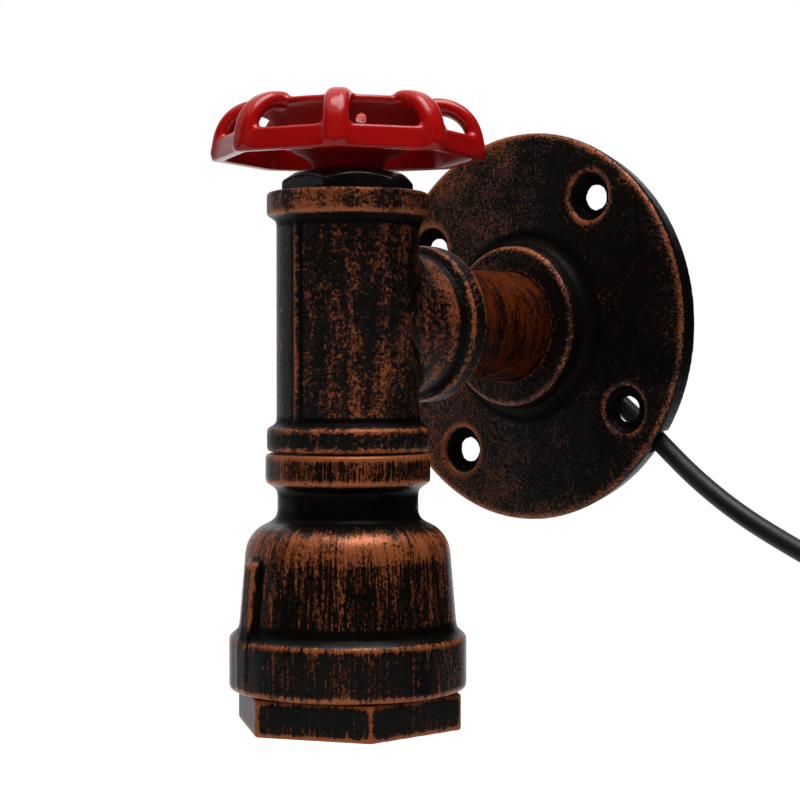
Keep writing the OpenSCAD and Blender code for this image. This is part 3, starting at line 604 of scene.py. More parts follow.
def mesh_from(work: bmesh.types.BMesh, name: str) -> bpy.types.Mesh:
    """Returns a new mesh made from a bmesh, which is freed."""
    mesh = bpy.data.meshes.new(name)
    work.to_mesh(mesh)
    work.free()
    return mesh


def shade_smooth(mesh: bpy.types.Mesh) -> None:
    """Shades every face of a mesh smooth."""
    mesh.polygons.foreach_set("use_smooth", np.ones(len(mesh.polygons), dtype=bool))


def thicken(piece: bpy.types.Object, thickness: float) -> None:
    """Gives a sheet its wall, inwards from its faces."""
    wall = piece.modifiers.new("Wall", "SOLIDIFY")
    wall.thickness = thickness
    wall.offset = -1


def add_piece(name: str, data: bpy.types.Mesh | bpy.types.Curve, finish: Finish, body: Body,
              nodes: Sequence[str]) -> bpy.types.Object:
    """Puts a new piece in the scene, on its body and in its finish.

    Args:
        name: The piece's name.
        data: Its mesh or curve.
        finish: Its finish.
        body: The body that it rides on.
        nodes: The solids that it stands for.

    Returns:
        The new object.
    """
    piece = put_in_scene(name, data)
    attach(piece, body.value)
    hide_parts(*nodes)
    data.materials.append(finish.material())
    LOG.info("made %s on %s", name, body.value)
    return piece


@dataclass
class Casting:
    """A cast or moulded piece, remade from its solid with filleted corners and rounded edges."""

    name: str
    node: str
    finish: Finish
    body: Body = Body.LIGHT
    slot: Slot = Slot.CASTING
    voxel: float = 0.45 * MM
    fill_steps: int = 10
    round_steps: int = 4
    bend_spread: int = 6
    edge_bend: Span = (0.14, 0.55)
    edge_gain: float = 0.8
    hollow_bend: Span = (0.05, 0.25)
    hollow_gain: float = -0.6
    top_gain: float = 0.15

    def build(self) -> bpy.types.Object:
        """Makes the piece, with its rub attribute and its finish.

        Returns:
            The new object.
        """
        mesh = self.even_mesh()
        surface = Surface(mesh)
        surface.fill(self.fill_steps, self.fill_zone(surface.points))
        surface.smooth(self.round_steps)
        self.shape(surface)
        bend = surface.bend(self.bend_spread)
        normals = surface.normals()
        surface.write("rub", self.rub(surface.points, normals, bend))
        shade_smooth(mesh)
        return add_piece(self.name, mesh, self.finish, self.body, [self.node])

    def even_mesh(self) -> bpy.types.Mesh:
        """Copies the solid as one closed mesh of even small faces.

        Returns:
            The new mesh.
        """
        work = bmesh.new()
        work.from_mesh(frame["nodes"][self.node].data)
        bmesh.ops.remove_doubles(work, verts=work.verts, dist=WELD)
        bmesh.ops.recalc_face_normals(work, faces=work.faces)
        copy = mesh_from(work, self.name + "_solid")
        holder = put_in_scene(self.name + "_solid", copy)
        remesh = holder.modifiers.new("Even faces", "REMESH")
        remesh.mode = "VOXEL"
        remesh.voxel_size = self.voxel
        graph = bpy.context.evaluated_depsgraph_get()
        mesh = bpy.data.meshes.new_from_object(holder.evaluated_get(graph))
        bpy.data.objects.remove(holder)
        bpy.data.meshes.remove(copy)
        mesh.name = self.name
        mesh.materials.clear()
        return mesh

    def fill_zone(self, points: np.ndarray) -> np.ndarray:
        """Says where inner corners are filled: on a plain piece, all over."""
        return np.ones(len(points))

    def shape(self, surface: Surface) -> None:
        """Adds the small forms that a piece has beyond its solid; a plain piece has none."""

    def rub(self, points: np.ndarray, normals: np.ndarray, bend: np.ndarray) -> np.ndarray:
        """Says how much the paint is rubbed at each point.

        Args:
            points: The points, in metres.
            normals: The outward directions.
            bend: How sharply the surface bends, per millimetre.

        Returns:
            The amount, where 0 is the finish's own cover.
        """
        edges = self.edge_gain * ramp(bend, *self.edge_bend)
        hollows = self.hollow_gain * ramp(-bend, *self.hollow_bend)
        tops = self.top_gain * np.clip(normals[:, 2], 0, 1)
        return edges + hollows + tops + self.zones(points)

    def zones(self, points: np.ndarray) -> np.ndarray:
        """Adds zones of more or less copper; a plain piece has none."""
        return np.zeros(len(points))


@dataclass
class Tee(Casting):
    """The tee, with a copper top bead, a mottled body and a seam down its front."""

    bead_h: float = 5.6 * MM
    bead_soft: float = 0.3 * MM
    brim_h: float = 1.4 * MM
    run_end: float = 29.5 * MM
    wall_r: Span = (13.2 * MM, 14.5 * MM)
    corner_out: Span = (9 * MM, 20 * MM)
    branch_out: Span = (12 * MM, 18 * MM)
    collar_out: Span = (21.6 * MM, 22.4 * MM)
    bead_foot: Span = (22.3 * MM, 23.6 * MM)
    left_x: Span = (0.5 * MM, -2 * MM)
    right_x: Span = (2 * MM, 14 * MM)
    seam_w: float = 1.2 * MM
    seam_h: float = 0.3 * MM
    seam_from_end: float = 9 * MM
    bead_gain: float = 0.2
    low_bead_gain: float = -0.16
    brim_gain: float = -0.5
    branch_gain: float = 0.24
    collar_gain: float = -0.44
    left_gain: float = -0.12
    right_gain: float = 0.04
    foot_gain: float = -0.4
    inside_gain: float = -0.8
    seam_gain: float = -0.2

    def fill_zone(self, points: np.ndarray) -> np.ndarray:
        """Fills the corner between the run and the branch."""
        return band(points[:, 1] - TEE_AXIS.y, *self.corner_out, soft=2 * MM)

    def seam(self, points: np.ndarray) -> np.ndarray:
        """Returns 1 along the middle of the seam and 0 beside it."""
        across = np.clip(1 - (points[:, 0] / (self.seam_w / 2)) ** 2, 0, 1)
        end = self.run_end - self.seam_from_end
        body = band(points[:, 2], -end, end, soft=0.5 * MM)
        return across * body * (points[:, 1] < TEE_AXIS.y - self.wall_r[1])

    def shape(self, surface: Surface) -> None:
        """Raises the seam."""
        surface.points[:, 1] -= self.seam_h * self.seam(surface.points)

    def zones(self, points: np.ndarray) -> np.ndarray:
        """Rubs the top bead most, and the body more to the right of its seam than to the left."""
        height = points[:, 2]
        out = points[:, 1] - TEE_AXIS.y
        reach = np.hypot(points[:, 0], out)
        bead = band(height, self.run_end - self.bead_h, self.run_end + MM, self.bead_soft)
        low_bead = band(height, -self.run_end - MM, self.bead_h - self.run_end, self.bead_soft)
        brim = band(height, self.run_end - self.brim_h, self.run_end + MM, soft=0.4 * MM)
        branch = ramp(out, *self.branch_out)
        collar = ramp(out, *self.collar_out)
        body = (1 - branch) * (1 - bead)
        left = ramp(points[:, 0], *self.left_x) * body
        right = ramp(points[:, 0], *self.right_x) * body
        foot = band(np.abs(height), *self.bead_foot, soft=0.8 * MM) * (1 - branch)
        inside = 1 - ramp(reach, *self.wall_r)
        return (self.bead_gain * bead + self.low_bead_gain * low_bead + self.brim_gain * brim
                + self.branch_gain * branch + self.collar_gain * collar + self.left_gain * left
                + self.right_gain * right + self.foot_gain * foot + self.inside_gain * inside
                + self.seam_gain * self.seam(points))


@dataclass
class Reducer(Casting):
    """The bell reducer, with a bright rubbed shoulder and streaks down the bell."""

    neck_top: float = -36.8 * MM
    neck_end: float = -46 * MM
    shoulder_top: float = -47.3 * MM
    bell_top: float = -53.2 * MM
    streak_end: float = -67 * MM
    foot: Span = (-71.2 * MM, -67.8 * MM)
    wall_r: Span = (18.2 * MM, 19.4 * MM)
    # Painted shade: less copper on the shoulder towards the left of the picture
    painted_shade_side: Span = (-3 * MM, -18 * MM)
    shoulder_gain: float = 0.5
    left_gain: float = -0.16
    streak_gain: float = 0.16
    small_bead_gain: float = 0.22
    foot_gain: float = -0.4
    neck_gain: float = -0.34

    def zones(self, points: np.ndarray) -> np.ndarray:
        """Rubs the shoulder most, with painted shade as less copper on its left side, and lets the strokes fade
        out down the bell.
        """
        height = points[:, 2]
        out = points[:, 1] - TEE_AXIS.y
        outside = ramp(np.hypot(points[:, 0], out), *self.wall_r)
        # Painted shade on the shoulder's left side
        left = ramp(PICTURE_RIGHT[0] * points[:, 0] + PICTURE_RIGHT[1] * out, *self.painted_shade_side)
        shoulder = band(height, self.bell_top, self.shoulder_top, soft=1.1 * MM)
        streaks = ramp(height, self.streak_end, self.bell_top) * (height < self.bell_top)
        small_bead = band(height, self.neck_top, 0, soft=0.3 * MM)
        foot = band(height, *self.foot, soft=0.6 * MM)
        neck = band(height, self.neck_end, self.neck_top, soft=0.5 * MM)
        rubbed = (self.shoulder_gain + self.left_gain * left) * shoulder + self.streak_gain * streaks
        return (outside * rubbed + self.small_bead_gain * small_bead + self.foot_gain * foot
                + self.neck_gain * neck)


@dataclass
class Bushing(Casting):
    """The hexagon bushing, rubbed on its edges and streaked up from the lowest one."""

    hex_end: float = -92.0 * MM
    streak_h: float = 4 * MM
    wall_r: Span = (21 * MM, 22 * MM)
    end_gain: float = 0.34
    inside_gain: float = -0.5

    def zones(self, points: np.ndarray) -> np.ndarray:
        """Rubs the lowest edge, and keeps the inside black."""
        outside = ramp(np.hypot(points[:, 0], points[:, 1] - TEE_AXIS.y), *self.wall_r)
        end = ramp(points[:, 2], self.hex_end + self.streak_h, self.hex_end)
        return self.end_gain * outside * end + self.inside_gain * (1 - outside)


@dataclass
class Flange(Casting):
    """The wall flange, dusted with copper on its face and black on its side and in its screw seats."""

    front: float = -7.4 * MM
    behind_plate: Span = (1.9 * MM, 3.4 * MM)
    back_depth: Span = (2.2 * MM, 2.6 * MM)
    side_depth: Span = (0.5 * MM, 1.2 * MM)
    side_r: Span = (47.65 * MM, 48.25 * MM)
    border_r: Span = (41.95 * MM, 47.95 * MM)
    hub_fill_r: Span = (19 * MM, 25 * MM)
    hub_foot_r: Span = (20.6 * MM, 24 * MM)
    hub_step_r: Span = (21.7 * MM, 22.5 * MM)
    hub_step_turn: Span = (0.4, 1.5)
    hole_circle_r: float = 37.5 * MM
    first_hole: float = math.radians(57)
    hole_count: int = 4
    hole_r: float = 3 * MM
    seat_r: float = 6.2 * MM
    seat_floor_r: float = 4.6 * MM
    seat_depth: float = 1.95 * MM
    seat_black_r: Span = (6 * MM, 5.3 * MM)
    seat_ring_r: Span = (6.1 * MM, 7.4 * MM)
    boss_r: float = 8.5 * MM
    boss_h: float = 1.5 * MM
    # Painted shade across the face between these: more copper on the left, less on the right
    painted_shade_sweep_x: Span = (-28 * MM, 28 * MM)
    left_gain: float = 0.2
    right_gain: float = -0.25
    ring_gain: float = 0.2
    border_gain: float = 0.13
    hub_step_gain: float = 0.75
    seat_gain: float = -1.1
    side_gain: float = -1.2
    back_gain: float = -0.25
    foot_gain: float = -0.45

    def from_hole(self, points: np.ndarray) -> np.ndarray:
        """Returns each point's step along X and Z from the axis of the nearest screw hole."""
        turns = self.first_hole + 2 * math.pi / self.hole_count * np.arange(self.hole_count)
        axes = self.hole_circle_r * np.stack([np.cos(turns), np.sin(turns)], axis=1)
        steps = points[:, None, [0, 2]] - axes
        nearest = np.argmin(np.linalg.norm(steps, axis=2), axis=1)
        return steps[np.arange(len(points)), nearest]

    def fill_zone(self, points: np.ndarray) -> np.ndarray:
        """Fills the corner at the hub's foot."""
        return band(np.hypot(points[:, 0], points[:, 2]), *self.hub_fill_r, soft=MM)

    def shape(self, surface: Surface) -> None:
        """Cuts steep screw seats, with a boss behind each one that the cord doesn't cross."""
        points = surface.points
        step = self.from_hole(points)
        gap = np.linalg.norm(step, axis=1)
        boss = self.boss_h * (1 - ((points[:, 0] > 0) & (points[:, 2] < 0)))
        behind = band(points[:, 1] - self.front, *self.behind_plate, soft=0.5 * MM)
        points[:, 1] += boss * behind * (1 - ramp(gap, self.seat_r, self.boss_r))
        floor = self.front + (self.seat_depth + boss) * (1 - ramp(gap, self.seat_floor_r, self.seat_r))
        points[:, 1] = np.where(gap < self.seat_r, np.maximum(points[:, 1], floor), points[:, 1])
        made_r = gap.min()
        draw_in = (self.seat_floor_r - self.hole_r) / (self.seat_floor_r - made_r)
        wanted = self.hole_r + (gap - made_r) * draw_in
        share = np.where(gap < self.seat_floor_r, wanted / gap, 1.0)
        points[:, [0, 2]] += step * (share[:, None] - 1)

    def zones(self, points: np.ndarray) -> np.ndarray:
        """Rubs rings round the seats, keeps the rim's side and the seats black, and paints shade across the face:
        more copper on the left, less on the right.
        """
        reach = np.hypot(points[:, 0], points[:, 2])
        gap = np.linalg.norm(self.from_hole(points), axis=1)
        turn = np.arctan2(points[:, 2], points[:, 0])
        depth = points[:, 1] - self.front
        # Painted shade: copper fades from the left of the face to the right
        painted_shade_sweep = ramp(points[:, 0], *self.painted_shade_sweep_x)
        ring = band(gap, *self.seat_ring_r, soft=0.5 * MM)
        border = ramp(reach, *self.border_r)
        hub_step = band(reach, *self.hub_step_r, soft=0.3 * MM) * band(turn, *self.hub_step_turn, soft=0.3)
        seat = ramp(gap, *self.seat_black_r)
        side = ramp(reach, *self.side_r) * ramp(depth, *self.side_depth)
        back = ramp(depth, *self.back_depth)
        foot = band(reach, *self.hub_foot_r, soft=MM)
        return (self.left_gain * (1 - painted_shade_sweep) + self.right_gain * painted_shade_sweep + self.ring_gain * ring
                + self.border_gain * border + self.hub_step_gain * hub_step + self.seat_gain * seat
                + self.side_gain * side + self.back_gain * back + self.foot_gain * foot)


@dataclass
class Handwheel(Casting):
    """The red handwheel, with painted shade in its hollows: darker, duller enamel there."""

    dish_r: Span = (18 * MM, 21 * MM)
    dish_facing: Span = (-0.2, 0.5)
    corner_bend: Span = (0.1, 0.5)
    open_level: float = 0.5
    dish_shade: float = 0.4
    corner_shade: float = 0.25

    def rub(self, points: np.ndarray, normals: np.ndarray, bend: np.ndarray) -> np.ndarray:
        """Says how open the surface lies: about 0 in the hollows, and 0.5 outside; the enamel paints shade where
        it is low.
        """
        centre = points - np.array(TEE_AXIS)
        reach = np.hypot(centre[:, 0], centre[:, 1])
        outwards = (normals[:, :2] * centre[:, :2]).sum(axis=1) / np.maximum(reach, MM)
        dish = (1 - ramp(reach, *self.dish_r)) * ramp(outwards, *self.dish_facing)
        # Less openness in the dish and the inner corners gives painted shade
        return self.open_level - self.dish_shade * dish - self.corner_shade * ramp(-bend, *self.corner_bend)


@dataclass
class MainsCord:
    """The cord from the pipe, along the wall, to the coil and the mains plug."""

    diameter: float = 4.6 * MM
    length: float = 1.798
    ring_steps: int = 5
    knot_steps: int = 4
    # The route and the coil are in millimetres
    grip_tail: Point = (0, -26, 0)
    lead: Sequence[Point] = (
        (0, -22, 0), (0.5, -16.9, -0.4), (2.1, -12.2, -1.5), (4.7, -8.1, -3.3), (8, -5, -5.7),
        (11.8, -3.1, -8.4), (16, -2.4, -11.4), (22, -2.4, -15.7), (29, -2.4, -20.8), (36, -2.4, -26.2),
        (42, -2.4, -31.2), (48.5, -2.5, -36.2), (56, -2.6, -41.2), (63.5, -2.8, -45.4), (71, -3, -49),
        (78.5, -3.2, -52.3), (88, -3.5, -56.2), (98, -3.8, -59.8), (108, -4, -62.6), (116, -4, -64.1),
        (120.8, -4, -64.5), (125.4, -4, -64.5))
    tail: Sequence[Point] = (
        (134.6, -19.3, -64.5), (136.6, -19.3, -64.5), (143.9, -20.1, -65.6), (150.4, -22.1, -69),
        (155.5, -24.7, -74.2), (158.8, -27.2, -80.7), (160, -29.2, -87.9), (160, -29.9, -94),
        (160, -29.95, -97.4), (160, -29.95, -102))
    coil_centre: Point = (130, -4, -96)
    coil_r: float = 31.5
    turn_pitch: float = 5.1
    layer_turns: float = 2.5
    climb_turns: float = 0.5
    layers: int = 4
    turn_points: int = 24

    def coil(self) -> list[Point]:
        """Winds the coil: the turns spiral in and out and climb a layer at each reversal.

        Returns:
            The points of the coil, in millimetres.
        """
        inner_r = self.coil_r - self.layer_turns * self.turn_pitch
        reversals = self.layer_turns * np.arange(1, self.layers)
        x, y, z = self.coil_centre
        points = []
        for count in range(int(self.layer_turns * self.layers * self.turn_points) + 1):
            turn = count / self.turn_points
            layer = min(int(turn / self.layer_turns), self.layers - 1)
            share = turn / self.layer_turns - layer
            inwards = share if layer % 2 == 0 else 1 - share
            radius = self.coil_r + (inner_r - self.coil_r) * inwards
            depth = float(ramp(turn - reversals, -self.climb_turns / 2, self.climb_turns / 2).sum())
            angle = 2 * math.pi * turn
            points.append((x + radius * math.sin(angle), y - self.turn_pitch * depth,
                           z + radius * math.cos(angle)))
        return points

    def build(self) -> bpy.types.Object:
        """Makes the cord as one smooth curve.

        Returns:
            The new object.
        """
        route = [Vector(point) * MM for point in (self.grip_tail, *self.lead, *self.coil()[1:-1], *self.tail)]
        curve = bpy.data.curves.new("mains_cord", "CURVE")
        curve.dimensions = "3D"
        curve.bevel_depth = 1.0
        curve.bevel_resolution = self.ring_steps
        curve.resolution_u = self.knot_steps
        curve.use_fill_caps = True
        spline = curve.splines.new("BEZIER")
        spline.bezier_points.add(len(route) - 1)
        for index, (knot, point) in enumerate(zip(spline.bezier_points, route)):
            before = route[max(index - 1, 0)]
            after = route[min(index + 1, len(route) - 1)]
            way = (after - before).normalized()
            knot.handle_left_type = knot.handle_right_type = "FREE"
            knot.co = point
            knot.radius = self.diameter / 2
            knot.handle_left = point - way * (point - before).length / 3
            knot.handle_right = point + way * (after - point).length / 3
        return add_piece("mains_cord", curve, FINISHES[Slot.SHEATH], Body.LIGHT,
                         ["cord", "cord_coil", "cord_tail"])

    def declare(self, piece: bpy.types.Object, fittings: Sequence[bpy.types.Object]) -> None:
        """Args:
            piece: The cord; not used.
            fittings: The plug, its pins and the strap; not used.
        """


@dataclass
class ScrewShell:
    """The lampholder's brass shell, rolled with a round thread."""

    node: str = "screw_shell"
    pitch: float = 3.63 * MM
    depth: float = 0.9 * MM
    wall: float = 0.3 * MM
    turn_steps: int = 48
    profile_steps: int = 12
    weld: float = 0.01 * MM

    def build(self) -> bpy.types.Object:
        """Makes the shell in the room of its solid, with its thread as a helix.

        Returns:
            The new object.
        """
        low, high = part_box(self.node)
        outer_r = (high.x - low.x) / 2
        work = bmesh.new()
        profile = []
        for count in range(self.profile_steps + 1):
            share = count / self.profile_steps
            groove = self.depth * (1 - math.cos(2 * math.pi * share)) / 2
            place = Vector((outer_r - groove, 0, low.z + (share - 1) * self.pitch))
            profile.append(work.verts.new(TEE_AXIS + place))
        edges = [work.edges.new(pair) for pair in zip(profile, profile[1:])]
        turns = math.ceil((high.z - low.z) / self.pitch) + 1
        bmesh.ops.spin(
            work, geom=[*profile, *edges], cent=TEE_AXIS, axis=(0, 0, 1), angle=2 * math.pi * turns,
            steps=self.turn_steps * turns, dvec=(0, 0, self.pitch / self.turn_steps), use_merge=False)
        bmesh.ops.remove_doubles(work, verts=work.verts[:], dist=self.weld)
        for height, side in ((low.z, -1), (high.z, 1)):
            bmesh.ops.bisect_plane(
                work, geom=[*work.verts, *work.edges, *work.faces], plane_co=(0, 0, height),
                plane_no=(0, 0, side), clear_outer=True)
        bmesh.ops.recalc_face_normals(work, faces=work.faces[:])
        mesh = mesh_from(work, "threaded_shell")
        shade_smooth(mesh)
        piece = add_piece("threaded_shell", mesh, FINISHES[Slot.BRASS], Body.LIGHT, [self.node])
        thicken(piece, self.wall)
        return piece


@dataclass
class CoilStrap:
    """The strap that holds the coil, drawn snug round its turns."""

    thickness: float = 1 * MM
    corner_r: float = 3.4 * MM
    corner_steps: int = 6
    edge_r: float = 0.3 * MM
    edge_steps: int = 2

    def build(self) -> bpy.types.Object:
        """Makes the strap in the room of its solid, with round corners.

        Returns:
            The new object.
        """
        low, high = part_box("coil_tie")
        work = bmesh.new()
        outline = ((low.y, low.z), (high.y, low.z), (high.y, high.z), (low.y, high.z))
        corners = [work.verts.new((low.x, y, z)) for y, z in outline]
        work.faces.new(corners)
        bmesh.ops.bevel(work, geom=corners, affect="VERTICES", offset=self.corner_r,
                        segments=self.corner_steps, profile=0.5, material=-1)
        bmesh.ops.delete(work, geom=work.faces[:], context="FACES_ONLY")
        side = bmesh.ops.extrude_edge_only(work, edges=work.edges[:])["geom"]
        moved = [item for item in side if isinstance(item, bmesh.types.BMVert)]
        bmesh.ops.translate(work, verts=moved, vec=(high.x - low.x, 0, 0))
        bmesh.ops.recalc_face_normals(work, faces=work.faces[:])
        mesh = mesh_from(work, "coil_strap")
        piece = add_piece("coil_strap", mesh, FINISHES[Slot.NYLON], Body.LIGHT, ["coil_tie"])
        thicken(piece, self.thickness)
        soft = piece.modifiers.new("Soft edges", "BEVEL")
        soft.width = self.edge_r
        soft.segments = self.edge_steps
        return piece


@dataclass(frozen=True)
class Studio:
    """The camera, floor, lights and background."""

    # The camera's place is in millimetres, and its focal length in pixels of the picture
    camera_from_tee: Point = (327.25, -335.44, -10.85)
    look: Point = (-0.67984, 0.73321, -0.01472)
    focal_pixels: float = 2050.36
    picture_width: int = 800
    sensor: float = 36.0
    near_clip: float = 0.01
    floor_drop: float = 0.22
    floor_size: float = 16.0
    floor_colour: Colour = (0.84, 0.84, 0.84)
    floor_far: Span = (-0.1, 1.5)
    floor_glow: Span = (0.43, 0.9)
    stage_rough: float = 0.9
    stage_shine: float = 0.1
    card_colour: Colour = (0.02, 0.02, 0.02)
    card_r: float = 1.5
    card_h: float = 3.2
    card_steps: int = 32
    dark_from: float = math.radians(-95)
    grey_from: float = math.radians(-153)
    dark_to: float = math.radians(153)
    grey_glow: float = 0.46
    world_light: float = 0.16

    def build(self) -> None:
        """Makes the camera first, then the floor, the lights, the cards and the world."""
        self.camera()
        self.floor()
        self.lights()
        self.card("dark_card", self.dark_from, self.dark_to, 0.0)
        self.card("grey_card", self.grey_from, self.dark_from, self.grey_glow)
        self.world()
        bpy.context.scene.view_settings.view_transform = "Standard"

    def camera(self) -> None:
        """Puts the camera at the photograph's angle."""
        data = bpy.data.cameras.new("camera")
        data.sensor_fit = "HORIZONTAL"
        data.sensor_width = self.sensor
        data.lens = self.focal_pixels / self.picture_width * self.sensor
        data.clip_start = self.near_clip
        camera = put_in_scene("camera", data)
        camera.location = TEE_AXIS + Vector(self.camera_from_tee) * MM
        self.aim(camera, Vector(self.look))
        bpy.context.scene.camera = camera

    def aim(self, item: bpy.types.Object, way: Vector) -> None:
        """Turns a camera or a light to look along a direction."""
        item.rotation_mode = "QUATERNION"
        item.rotation_quaternion = way.to_track_quat("-Z", "Y")

    def seen_directly(self, shader: Shader) -> Socket:
        """Returns 1 for camera, glossy and transmission rays."""
        path = shader.add("ShaderNodeLightPath")
        some = shader.math("MAXIMUM", path.outputs["Is Camera Ray"], path.outputs["Is Glossy Ray"])
        return shader.math("MAXIMUM", some, path.outputs["Is Transmission Ray"])

    def stage_mesh(self, name: str, work: bmesh.types.BMesh
                   ) -> tuple[bpy.types.Object, Shader, bpy.types.Node]:
        """Puts a stage piece in the scene, with a matt material.

        Args:
            name: The piece's name.
            work: Its mesh, which is freed.

        Returns:
            The object, its material's builder and its shader node.
        """
        mesh = mesh_from(work, name)
        piece = put_in_scene(name, mesh)
        material, shader, principled = new_material(name)
        shader.feed(principled, {"Roughness": self.stage_rough, "Specular IOR Level": self.stage_shine})
        mesh.materials.append(material)
        return piece, shader, principled

    def floor(self) -> None:
        """Makes a plain pale floor under the object, which turns white far away and is clear from below."""
        work = bmesh.new()
        bmesh.ops.create_grid(work, x_segments=1, y_segments=1, size=self.floor_size / 2)
        bmesh.ops.translate(work, verts=work.verts, vec=(0, 0, CAD_LOW.z - self.floor_drop))
        _, shader, principled = self.stage_mesh("pale_floor", work)
        flat = shader.place((1.0, 1.0, 0.0))
        far = shader.add("ShaderNodeVectorMath", {0: flat}, operation="LENGTH").outputs["Value"]
        level = shader.step(far, *self.floor_far, self.floor_glow)
        backs = shader.add("ShaderNodeNewGeometry").outputs["Backfacing"]
        shader.feed(principled, {
            "Base Color": self.floor_colour,
            "Emission Color": WHITE,
            "Emission Strength": shader.math("MULTIPLY", self.seen_directly(shader), level),
            "Alpha": shader.math("SUBTRACT", 1.0, backs)})

    def card(self, name: str, start: float, end: float, glow: float) -> None:
        """Bends a card round the object, which only reflections show.

        Args:
            name: The card's name.
            start: Where it starts, as a turn from the camera's side, to the right where positive.
            end: Where it ends.
            glow: How bright it shines, where 1 is white.
        """
        work = bmesh.new()
        towards = -Vector((self.look[0], self.look[1], 0)).normalized() * self.card_r
        towards.rotate(Quaternion((0, 0, 1), start))
        rise = Vector((0, 0, self.card_h / 2))
        low = work.verts.new(TEE_AXIS + towards - rise)
        high = work.verts.new(TEE_AXIS + towards + rise)
        edge = work.edges.new((low, high))
        bmesh.ops.spin(work, geom=[low, high, edge], cent=TEE_AXIS, axis=(0, 0, 1), angle=end - start,
                       steps=self.card_steps, use_merge=False)
        card, shader, principled = self.stage_mesh(name, work)
        shader.feed(principled, {
            "Base Color": self.card_colour, "Emission Color": WHITE, "Emission Strength": glow})
        card.visible_camera = False
        card.visible_diffuse = False
        card.visible_shadow = False

    def lights(self) -> None:
        """Hangs a large soft light overhead, and weak ones by the camera and behind the object."""
        self.soft_light("overhead", (0.14, -0.02, 0.6), size=0.42, power=4.6)
        self.soft_light("front", (0.35, -0.95, 0.3), size=0.5, power=1.6).visible_glossy = False
        self.soft_light("back", (-0.66, 0.74, 0.25), size=0.5, power=2.4).visible_glossy = False

    def soft_light(self, name: str, place: Point, size: float, power: float) -> bpy.types.Object:
        """Hangs one soft square light that faces the object.

        Args:
            name: The light's name.
            place: Where it hangs, from the tee's centre, in metres.
            size: Its width, in metres.
            power: Its power, in watts.

        Returns:
            The light's object.
        """
        data = bpy.data.lights.new(name, "AREA")
        data.shape = "SQUARE"
        data.size = size
        data.energy = power
        light = put_in_scene(name, data)
        light.location = TEE_AXIS + Vector(place)
        self.aim(light, -Vector(place))
        return light

    def world(self) -> None:
        """Makes a white background that lights the object softly."""
        world = bpy.data.worlds.new("studio")
        world.use_nodes = True
        world.node_tree.nodes.clear()
        shader = Shader(world.node_tree)
        strength = shader.step(self.seen_directly(shader), 0.0, 1.0, (self.world_light, 1.0))
        background = shader.add("ShaderNodeBackground", {"Color": WHITE, "Strength": strength})
        shader.add("ShaderNodeOutputWorld", {"Surface": background.outputs[0]})
        bpy.context.scene.world = world


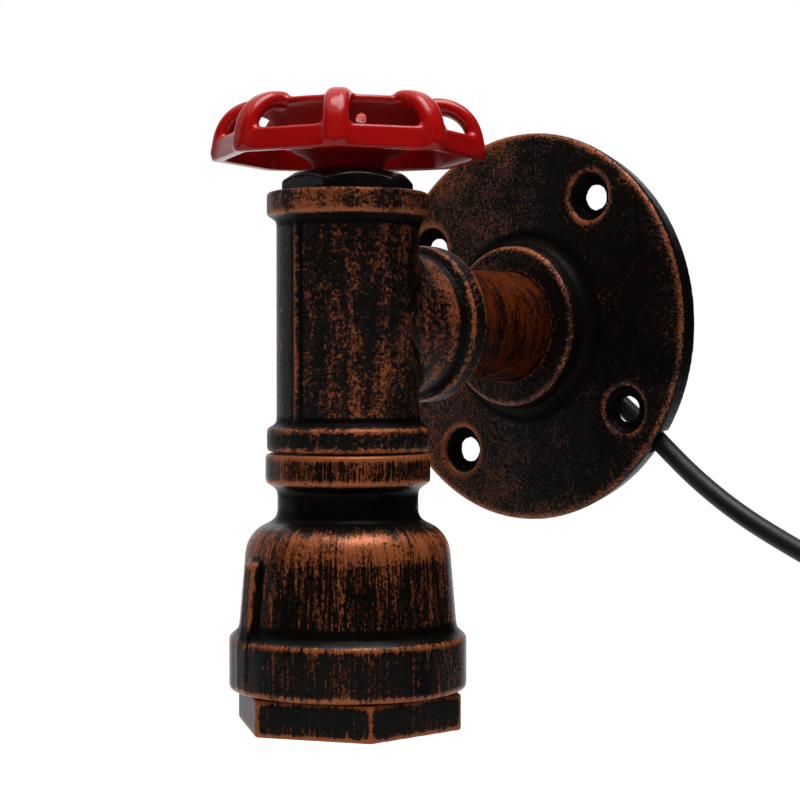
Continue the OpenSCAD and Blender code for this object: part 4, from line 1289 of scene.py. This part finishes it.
def make_castings() -> list[Casting]:
    """Lists the castings and mouldings, each with its finish."""
    flange_finish = RubbedFinish(
        "rubbed flange", cover=0.31, speck=1400.0, cloud_share=0.2, cloud_stretch=(0.5, 0.5, 0.5),
        grain_depth=0.2 * MM, copper=(0.32, 0.09, 0.032), thin_copper=(0.075, 0.02, 0.006))
    pipe_finish = RubbedFinish(
        "rubbed pipe", cover=0.68, stretch=(0.07, 1.0, 0.07), speck=900.0, grain_depth=0.04 * MM,
        copper=(0.12, 0.021, 0.0035), thin_copper=(0.033, 0.0055, 0.001))
    tee_finish = RubbedFinish(
        "rubbed tee", cover=0.36, speck=900.0, grain_share=0.24, softness=0.03, grain_depth=0.3 * MM,
        paint_rough=0.25)
    reducer_finish = RubbedFinish(
        "rubbed reducer", cover=0.28, stretch=(1.0, 1.0, 0.05), speck=1800.0, turned=True, grain_share=0.2,
        cloud_share=0.2, grain_depth=0.05 * MM)
    bushing_finish = RubbedFinish(
        "rubbed bushing", cover=0.16, stretch=(1.0, 1.0, 0.07), speck=1500.0, turned=True, grain_share=0.2,
        grain_depth=0.05 * MM, paint_rough=0.3)
    # The second colour is the painted shade in the wheel's hollows
    wheel_finish = EnamelFinish("red enamel", (0.41, 0.004, 0.003), (0.2, 0.003, 0.003))
    return [
        Flange("flange_casting", "wall_flange", flange_finish, voxel=0.5 * MM, edge_gain=0.46),
        Casting("pipe_with_paint", "pipe_nipple", pipe_finish, slot=Slot.PIPE, fill_steps=0, round_steps=2),
        Tee("tee_casting", "pipe_tee", tee_finish, fill_steps=60, round_steps=3, bend_spread=10,
            edge_gain=0.55),
        Reducer("reducer_casting", "bell_reducer", reducer_finish, voxel=0.5 * MM, fill_steps=4,
                edge_gain=0.66),
        Bushing("bushing_casting", "hex_bushing", bushing_finish, fill_steps=2, edge_gain=0.7),
        Handwheel("red_handwheel", "handwheel", wheel_finish, body=Body.WHEEL, slot=Slot.RED, voxel=0.38 * MM,
                  fill_steps=30, round_steps=8),
        Casting("plug_hexagon", "bonnet_plug", FINISHES[Slot.BLACK], slot=Slot.BLACK, fill_steps=4),
        Casting("mains_plug", "plug_body", FINISHES[Slot.MOULDING], slot=Slot.MOULDING, voxel=0.6 * MM,
                fill_steps=20, round_steps=14),
    ]


@dataclass
class PipeWallLight:
    """The whole light: its castings, its cord and the pieces that keep their solids."""

    castings: list[Casting] = field(default_factory=make_castings)
    cord: MainsCord = field(default_factory=MainsCord)
    shell: ScrewShell = field(default_factory=ScrewShell)
    strap: CoilStrap = field(default_factory=CoilStrap)

    def build(self) -> None:
        """Makes the cord first, then the castings, and dresses the solids that stay."""
        cord = self.cord.build()
        made = {casting.node: casting.build() for casting in self.castings}
        self.shell.build()
        strap = self.strap.build()
        self.dress_solids()
        self.cord.declare(cord, [made["plug_body"], frame["nodes"]["plug_pins"], strap])

    def dress_solids(self) -> None:
        """Gives each solid that still shows the finish of its slot."""
        materials: dict[str, bpy.types.Material] = {}
        for part in frame["record"]["subparts"]:
            solid = frame["nodes"][part["node"]]
            if solid.hide_render:
                continue
            name = part["material_slot"]
            if name not in materials:
                materials[name] = FINISHES[Slot(name)].material()
            solid.data.materials.clear()
            solid.data.materials.append(materials[name])
            LOG.info("dressed %s in %s", part["node"], name)


def main() -> None:
    """Builds the studio and the light."""
    logging.basicConfig(level=logging.INFO, format="%(message)s")
    Studio().build()
    PipeWallLight().build()


if __name__ == "__main__":
    main()
